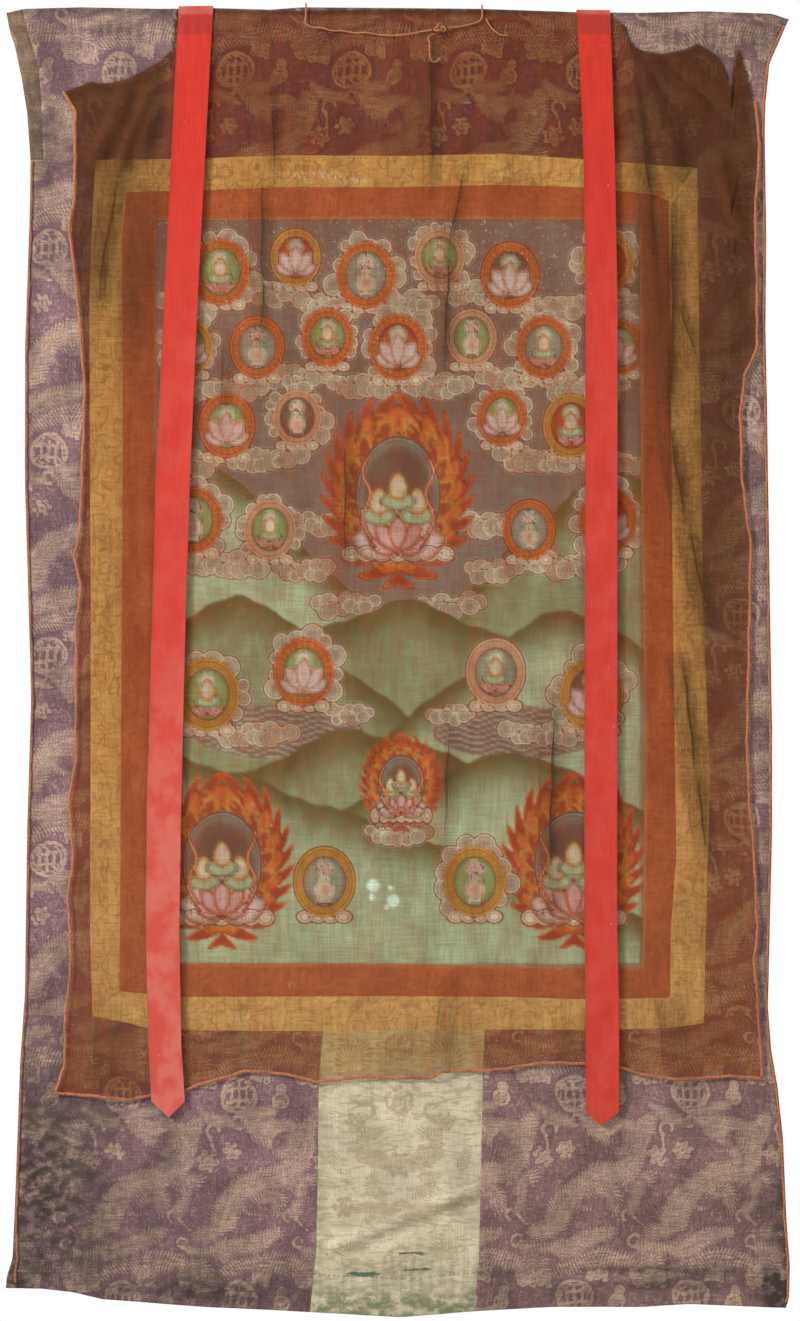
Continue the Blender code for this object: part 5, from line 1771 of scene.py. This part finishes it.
def tube(name, route, wide, thick, finish, sides=10, twist=0.0, lobes=0.0, bulge=0.0,
         pitch=5.0, flat_on=True):
    """Closed tube along a route of world points: an oval carried along it.

    Its frame keeps one side towards the viewer's direction unless flat_on is off, when a
    loop carries the frame from point to point. The oval's radius swells with the pitch by
    bulge, and is pinched into two lobes that turn by twist turns a metre."""
    ahead = np.gradient(route, axis=0)
    ahead /= np.linalg.norm(ahead, axis=1, keepdims=True)
    if flat_on:
        side = np.cross(ahead, np.array([0.0, -1.0, 0.0]))
        side /= np.linalg.norm(side, axis=1, keepdims=True)
    else:
        side = np.empty_like(route)
        held = np.cross(ahead[0], (0.3, -0.8, 0.5))
        for at, direction in enumerate(ahead):
            held = held - direction * (held @ direction)
            held = held / np.linalg.norm(held)
            side[at] = held
    out = np.cross(side, ahead)
    gone = length_so_far(route)
    round_it = np.linspace(0.0, 2 * np.pi, sides, endpoint=False)[None, :]
    strand = round_it - 2 * np.pi * twist * gone[:, None]
    swell = 1.0 + bulge * np.abs(np.sin(np.pi * gone / (pitch * MM)))[:, None] - bulge / 2
    swell = swell * (1.0 - lobes + lobes * np.abs(np.cos(strand)))
    points = (route[:, None]
              + side[:, None] * (np.cos(round_it) * swell * wide / 2 * MM)[..., None]
              + out[:, None] * (np.sin(round_it) * swell * thick / 2 * MM)[..., None])
    count = len(route) * sides
    index = np.arange(count).reshape(len(route), sides)
    wrapped = np.concatenate([index, index[:, :1]], axis=1)
    ends = np.stack([route[0] - ahead[0] * thick * 0.3 * MM,
                     route[-1] + ahead[-1] * thick * 0.3 * MM])
    caps = [np.stack([index[0], np.roll(index[0], -1), np.full(sides, count)], axis=1),
            np.stack([np.roll(index[-1], -1), index[-1], np.full(sides, count + 1)], axis=1)]
    points = np.concatenate([points.reshape(-1, 3), ends])
    return mesh_object(name, points, [quads(wrapped), *caps], finish)


def edge_piping(finish, worn):
    """Piping on the mount's face along each side edge, more worn at the left."""
    for name, (table, side, start, end, wander) in PIPING_SIDES.items():
        line = down_line(table, start, end, step=TUBE_STEP)
        across = line[:, 0] + side * (SEAM_GAP + lookup(wander, line[:, 1]) + PIPING_WIDTH / 2)
        across = across + 0.35 * np.sin(line[:, 1] / 9) + 0.25 * np.sin(line[:, 1] / 3.7)
        lift = hang(across, line[:, 1]) + DAMASK + SEWN_GAP + PIPING / 2
        route = place(across, line[:, 1], lift)
        piece = tube(f"{name}_cloth", route, PIPING_WIDTH * 0.92, PIPING,
                     worn if side > 0 else finish, bulge=0.22, pitch=5.5)
        dress(piece, [name])


def veil_grid():
    """Fine grid of the veil: even columns and rows drawn into its fallen outline."""
    first, last = VEIL_TOP[0][0], VEIL_TOP[-1][0]
    keys = np.array(VEIL_COLUMN_KEYS, dtype=float)
    even = np.linspace(first, last, round((last - first) / GAUZE_CELL) + 1)
    apart = np.abs(even[:, None] - keys[None]).min(axis=1) > GAUZE_CELL / 3
    columns = np.sort(np.concatenate([even[apart], keys]))
    u = ((columns - first) / (last - first))[None, :]
    top_rows, rows = (round(high / GAUZE_CELL) for high in VEIL_ROW_REACH)
    v = np.concatenate([
        np.linspace(0.0, VEIL_TOP_DEPTH, top_rows + 1)[:-1],
        np.linspace(VEIL_TOP_DEPTH, 1.0, rows + 1),
    ])[:, None]
    across = first + (last - first) * u + 0.0 * v
    inset = SEAM_GAP + BINDING_WIDTH / 2
    for _ in range(4):
        bottom = lookup(VEIL_BOTTOM, across) - inset
        down = (1.0 - v) * lookup(VEIL_TOP, columns)[None, :] + v * bottom
        left = lookup(VEIL_LEFT, down) + inset
        right = lookup(VEIL_RIGHT, down) - inset
        across = (1.0 - u) * left + u * right
    return across, down


def pleat_lines(across, down):
    """Signed distance in mm from the nearest pleat line, and 1 on it fading to 0 beside it.

    A line runs down each fold's shaded flank and a fainter one down its other side; the
    low folds have only the fainter one."""
    shifted = across + 0.35 * fold_sway(down) + 0.9 * np.sin(down / 13 + 0.06 * across)
    nearest, weight = np.full(across.shape, 12.0), np.zeros(across.shape)
    for x0, d0, x1, d1, half, lift in VEIL_FOLDS:
        for start, end, strength in ((0.45, 0.3, 1.0), (-0.75, -0.5, 0.55)):
            if d0 > LOW_FOLDS and start > 0:
                continue
            first, run_across = x0 + start * half, x1 - x0 + (end - start) * half
            run = math.hypot(run_across, d1 - d0)
            share = ((shifted - first) * run_across + (down - d0) * (d1 - d0)) / run**2
            aside = ((shifted - first) * (d1 - d0) - (down - d0) * run_across) / run
            fade = smooth_step(share, -0.15, 0.25) * smooth_step(-share, -1.12, -0.65)
            bell = strength * math.sqrt(lift / 8) * fade * np.exp(-(aside / 8.0) ** 2)
            nearest = np.where(bell > weight, aside, nearest)
            weight = np.maximum(weight, bell)
    return nearest, weight * ribbon_clearance(across, down)


def veil(gauze, binding):
    """The gauze, one layer thick, and its binding along the left, bottom and right."""
    across, down = veil_grid()
    lift = veil_back(across, down) + GAUZE / 2
    points = place(across, down, lift)
    index = np.arange(across.size).reshape(across.shape)
    piece = mesh_object("veil_cloth", points.reshape(-1, 3), [quads(index)], gauze, closed=False)
    dress(piece, ["veil"])
    below_top = down - lookup(VEIL_TOP, across)
    fallen = np.maximum(smooth_step(-across, 270, 284), smooth_step(across, 268, 290))
    roll = fallen * np.exp(-((below_top - 4.0) / 9.0) ** 2)
    heights = veil_folds(across, down)
    steep = np.hypot(*np.gradient(heights)) / GAUZE_CELL
    gather_and_shade = 0.05 * smooth_step(heights, 2.5, 7.5) + 0.16 * np.clip(steep, 0, 1)
    gather_and_shade = gather_and_shade + 0.40 * roll
    # Pleat lines, from which the finish draws dense lines and paints shade down one side of each
    # fold
    nearest, weight = pleat_lines(across, down)
    pleats_and_shade = np.stack([nearest, weight, 0.0 * weight], axis=-1)
    write_attribute(piece, "pleats_and_shade", pleats_and_shade.reshape(-1, 3))
    # Denser places, painted shade as well at the top left and down the right side
    gather_and_shade = gather_and_shade + sum(bells(VEIL_DENSITY_AND_SHADE, across, down))
    values = np.stack([gather_and_shade, np.clip(0.8 * roll, 0, 1), 0.0 * gather_and_shade], axis=-1)
    write_attribute(piece, "gather_and_shade", values.reshape(-1, 3))
    veil_binding(across, down, binding)


def veil_binding(across, down, binding):
    """Folded binding over the veil's left, right and bottom edges, overcast with thread."""
    corner = SEAM_GAP + BINDING_WIDTH / 2
    bottom_across = across[-1].copy()
    bottom_across[0] -= corner
    bottom_across[-1] += corner
    lines = {
        "veil_binding_left": (across[:, 0] - corner, down[:, 0]),
        "veil_binding_right": (across[:, -1] + corner, down[:, -1]),
        "veil_binding_bottom": (bottom_across, down[-1] + corner),
    }
    for name, (line_across, line_down) in lines.items():
        line = np.stack([line_across, line_down], axis=1)
        line = evenly(line, round(length_so_far(line)[-1] / BINDING_STEP))
        gone = np.arange(len(line)) * BINDING_STEP
        wobble = 0.4 * np.sin(gone / 11) + 0.3 * np.sin(gone / 4.3)
        middle = veil_back(line[:, 0], line[:, 1]) + GAUZE / 2
        route = place(line[:, 0] + wobble, line[:, 1] + wobble, middle)
        piece = tube(f"{name}_cloth", route, BINDING_WIDTH * 0.82, BINDING, binding,
                     bulge=0.3, pitch=6.5)
        dress(piece, [name])


def ribbon(name, table, finish):
    """Ribbon with its top turned over the mount's top edge and a pointed lower end."""
    tip_across, tip_down = RIBBON_POINTS[name]
    shoulder = table[-1][0]
    columns = BACK_STRIDE * 3
    share = np.linspace(0.0, 1.0, columns + 1)[None, :]
    halves = [(row[0], row[2] / 2) for row in table]
    middles = [row[:2] for row in table]

    def line_at(level):
        return lookup(middles, level) + (2 * share - 1) * lookup(halves, level)

    top = lookup(MOUNT_TOP, line_at(0.0)) + RIBBON
    near = ribbon_back(line_at(0.0), top) + RIBBON / 2
    far = -DAMASK - SLEEVE_SLOT - SEWN_GAP - RIBBON / 2
    radius, centre = (near - far) / 2, (near + far) / 2
    rows = []
    for back in np.linspace(RIBBON_TURN_BACK, 0.0, 5)[:-1]:
        rows.append((line_at(0.0), top + back, far + 0.0 * top, 0.0, -1.0))
    for angle in np.linspace(np.pi, 0.0, 4 * TURN_STEPS + 1):
        up, reach = np.sin(angle), np.cos(angle)
        rows.append((line_at(0.0), top - radius * up, centre + radius * reach, -up, reach))
    levels = np.linspace(0.0, shoulder, round(shoulder / RIBBON_CELL) + 1)[2:]
    pointed = (tip_down - shoulder) * (1 - np.abs(2 * share - 1))
    for level in levels:
        down = level + pointed * smooth_step(level, shoulder - 40.0, shoulder)
        across = line_at(level)
        slant = (tip_across - lookup(middles, shoulder)) * (down - level)
        across = across + slant / (tip_down - shoulder)
        camber = 0.25 * (1 - (2 * share - 1) ** 2) * np.sin(level / 47 + 1.0)
        curl = 0.5 * (2 * share - 1) ** 6 * smooth_step(level, 60.0, 200.0)
        middle = ribbon_back(across, down) + RIBBON / 2 + camber + curl
        rows.append((across, down, middle, 0.0, 1.0))
    across, down, middle = (np.concatenate([row[part] for row in rows]) for part in range(3))
    down_out = np.array([[row[3]] for row in rows]) * RIBBON / 2
    lift_out = np.array([[row[4]] for row in rows]) * RIBBON / 2
    front = place(across, down + down_out, middle + lift_out)
    back = place(across, down - down_out, middle - lift_out)
    piece, spread = cloth_solid(f"{name}_cloth", front, back, finish, row_stride=1)
    dress(piece, [name])
    side = np.abs(2 * share - 1) + 0.0 * down
    faded = 0.75 * smooth_step(-down, -8.5, -7.0) * smooth_step(down, -3.5, -1.5)
    deep = 0.8 * smooth_step(down, 8.5, 10.0) * smooth_step(-down, -34.0, -32.5)
    deep = np.maximum(deep, 0.9 * smooth_step(-down, 1.5, 3.5))
    deep = np.maximum(deep, 0.55 * faded)
    faded = np.maximum(faded, 0.12 * smooth_step(down, 150.0, 500.0))
    if name == "ribbon_left":
        faded = np.maximum(faded, 0.52 * smooth_step(down, 500.0, 1150.0))
    write_attribute(piece, "weave", spread(np.stack([side, faded, deep], axis=-1)))


def smooth_route(points, step):
    """Even points on the curve that runs smoothly through a route's own points."""
    guide = np.concatenate([[2 * points[0] - points[1]], points,
                            [2 * points[-1] - points[-2]]])
    part = np.linspace(0.0, 1.0, 16, endpoint=False)[:, None]
    pieces = []
    for before, start, end, after in zip(guide, guide[1:], guide[2:], guide[3:]):
        pieces.append(0.5 * (
            2 * start
            + (end - before) * part
            + (2 * before - 5 * start + 4 * end - after) * part**2
            + (3 * start - before - 3 * end + after) * part**3
        ))
    dense = np.concatenate([*pieces, points[-1:]])
    return evenly(dense, round(length_so_far(dense)[-1] / step))


def cord_points(table, hook_at_start=False, hook_at_end=False):
    """World points of a cord's route, with its hooks over the top edge."""
    rows = np.array(table, dtype=float)
    lift = veil_back(rows[:, 0], rows[:, 1]) + GAUZE + rows[:, 2]
    route = place(rows[:, 0], rows[:, 1], lift)

    def hook(end):
        edge = lookup(MOUNT_TOP, end[0] / MM)
        middle = -end[1] / MM - HOOK_RADIUS
        angles = np.linspace(0.0, np.pi, HOOK_STEPS + 1)
        downs = np.append(edge - HOOK_RADIUS * np.sin(angles), edge + HOOK_BACK_DROP)
        lifts = middle + HOOK_RADIUS * np.append(np.cos(angles), -1.0)
        return place(np.full(len(downs), end[0] / MM), downs, lifts)

    if hook_at_start:
        route = np.concatenate([hook(route[0])[::-1], route])
    if hook_at_end:
        route = np.concatenate([route, hook(route[-1])])
    return smooth_route(route, CORD_POINT_STEP * MM)


def twisted(name, route, finish):
    """Cord of two strands that turn round each other along a route."""
    return tube(name, route, CORD_THICK, CORD_THICK, finish, twist=CORD_TURNS, lobes=0.28,
                flat_on=False)


def cords(finish):
    """The cord in four runs, and the knot between them."""
    across, down, lift = KNOT_PLACE
    lift = lift + float(veil_back(np.array(across), np.array(down))) + GAUZE
    turn = np.linspace(0.0, 2 * np.pi, 120)
    half_across, half_down, half_lift = (half - CORD_THICK / 2 for half in KNOT_HALF)
    knot_route = place(across + half_across * (np.sin(turn) + 2 * np.sin(2 * turn)) / 3,
                       down + half_down * (np.cos(turn) - 2 * np.cos(2 * turn)) / 3,
                       lift + half_lift * np.sin(3 * turn))
    knot = twisted("cord_knot_turns", knot_route, finish)
    dress(knot, ["cord_knot"])

    runs = {
        "cord_left": (cord_points(CORD_LEFT, hook_at_start=True), "knot"),
        "cord_right": (cord_points(CORD_RIGHT, hook_at_end=True), "object"),
        "cord_tail_knot": (cord_points(TAIL_KNOT), "bare"),
        "cord_tail_right": (cord_points(TAIL_RIGHT), "bare"),
    }
    for name, (points, far_end) in runs.items():
        route = smooth_route(points, CORD_STEP * MM)
        piece = twisted(f"{name}_twist", route, finish)
        dress(piece, [name])


def stitches(finish):
    """Short threads along both sleeves' stitching: small blocks laid on the cloth."""
    rows = {
        "top_sleeve_stitches": (MOUNT_TOP, TOP_SLEEVE, -462, 470, 6.5),
        "bottom_sleeve_stitches": (MOUNT_BOTTOM, -BOTTOM_SLEEVE, -476, 482, 6.0),
    }
    corners = np.array([(a, b, c) for a in (-1, 1) for b in (-1, 1) for c in (0, 1)], float)
    block = np.array([(0, 1, 3, 2), (4, 6, 7, 5), (0, 4, 5, 1), (2, 3, 7, 6),
                      (0, 2, 6, 4), (1, 5, 7, 3)])
    for name, (edge, sleeve, start, end, pitch) in rows.items():
        middles = np.arange(start, end, pitch)
        middles = middles + 0.8 * np.sin(middles * 1.7)
        downs = lookup(edge, middles) + sleeve + 0.6 * np.sin(middles / 17)
        lift = hang(middles, downs) + DAMASK
        long = (1.5 + 0.4 * np.sin(middles * 0.9))[:, None] * (1 - 0.3 * corners[:, 2])
        points = place(middles[:, None] + corners[:, 0] * long,
                       downs[:, None] + corners[:, 1] * 0.32,
                       lift[:, None] + 0.1 + corners[:, 2] * 0.45)
        faces = (block[None] + 8 * np.arange(len(middles))[:, None, None]).reshape(-1, 4)
        piece = mesh_object(name, points.reshape(-1, 3), [faces], finish)
        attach(piece, "root")


# Stage, light and camera


def camera():
    """Level camera on the middle of the cloth, at the photograph's distance and frame."""
    data = bpy.data.cameras.new("camera")
    distance, seen_height = 6.0, 1.65125
    data.sensor_width = 36.0
    data.lens = data.sensor_width * distance / seen_height
    made = bpy.data.objects.new("camera", data)
    made.location = (0.0025, -distance, -0.8156)
    made.rotation_euler = (math.radians(90), 0, 0)
    bpy.context.scene.collection.objects.link(made)
    bpy.context.scene.camera = made


def soft_light(name, place_at, target, size, power):
    """Square lamp that faces a target."""
    data = bpy.data.lights.new(name, "AREA")
    data.size, data.energy = size, power
    made = bpy.data.objects.new(name, data)
    made.location = place_at
    away = np.array(target) - np.array(place_at)
    flat = math.hypot(away[0], away[1])
    made.rotation_euler = (math.pi / 2 + math.atan2(away[2], flat), 0,
                           math.atan2(away[1], away[0]) - math.pi / 2)
    bpy.context.scene.collection.objects.link(made)


def stage():
    """Pale floor just below the cloth, near-white surroundings and two soft lamps."""
    world = bpy.data.worlds.new("surroundings")
    world.use_nodes = True
    world.node_tree.nodes["Background"].inputs["Color"].default_value = (1.0, 1.0, 1.0, 1.0)
    world.node_tree.nodes["Background"].inputs["Strength"].default_value = 1.0
    bpy.context.scene.world = world
    mesh = bpy.data.meshes.new("floor")
    corners = [(x, y, -1.66) for x, y in ((-6, -6), (6, -6), (6, 0.12), (-6, 0.12))]
    mesh.from_pydata(corners, [], [(0, 1, 2, 3)])
    floor, _, shader = finish_tree("floor_paint", 0.9)
    shader.inputs["Base Color"].default_value = (0.86, 0.86, 0.85, 1.0)
    mesh.materials.append(floor)
    made = bpy.data.objects.new("floor", mesh)
    bpy.context.scene.collection.objects.link(made)
    soft_light("lamp_left", (-4.6, -3.6, 2.4), (0.1, 0.0, -0.75), 1.3, 930.0)
    soft_light("lamp_right", (2.6, -3.0, -0.3), (0.0, 0.0, -0.9), 1.6, 14.0)
    bpy.context.scene.view_settings.view_transform = "Standard"


camera()
stage()

# The third colour of each damask is its dirt and crease shade, the last its painted shade tint
# under the veil
damask = damask_finish("damask", as_seen(0.195, 0.099, 0.100), as_seen(0.42, 0.278, 0.205),
                       as_seen(0.045, 0.028, 0.022), (0.62, 0.66, 0.56, 1.0))
facing = damask_finish("olive_facing", as_seen(0.17, 0.10, 0.055), as_seen(0.27, 0.165, 0.10),
                       as_seen(0.06, 0.04, 0.02), (0.6, 0.6, 0.6, 1.0))
silk = door_finish()
yellow = brocade_finish("yellow_brocade", as_seen(0.76, 0.46, 0.118), as_seen(0.44, 0.25, 0.065),
                        as_seen(0.95, 0.75, 0.42), 30.0)
red = brocade_finish("red_brocade", as_seen(0.49, 0.123, 0.035), as_seen(0.31, 0.082, 0.028),
                     as_seen(0.62, 0.33, 0.16), 24.0)
canvas = canvas_finish()
gauze = gauze_finish()
binding = thread_finish("orange_binding", as_seen(0.64, 0.19, 0.055), as_seen(0.24, 0.07, 0.026))
worn_binding = thread_finish("worn_binding", as_seen(0.46, 0.15, 0.06), as_seen(0.17, 0.06, 0.035))
red_ribbon = ribbon_finish()
cord_thread = thread_finish("orange_cord", as_seen(0.62, 0.21, 0.075), as_seen(0.36, 0.10, 0.04))
damask_thread = thread_finish("sewing_thread", as_seen(0.32, 0.22, 0.16), as_seen(0.16, 0.10, 0.08))

cords(cord_thread)
edge_piping(binding, worn_binding)
top_panels(damask, facing)
side_panels(damask)
bottom_panels(damask, silk)
brocade_bands("band_yellow", YELLOW_OUTER, RED_OUTER, yellow)
brocade_bands("band_red", RED_OUTER, CANVAS_OUTER, red)
painted_canvas(canvas)
veil(gauze, binding)
for ribbon_name, ribbon_table in RIBBONS.items():
    ribbon(ribbon_name, ribbon_table, red_ribbon)
stitches(damask_thread)
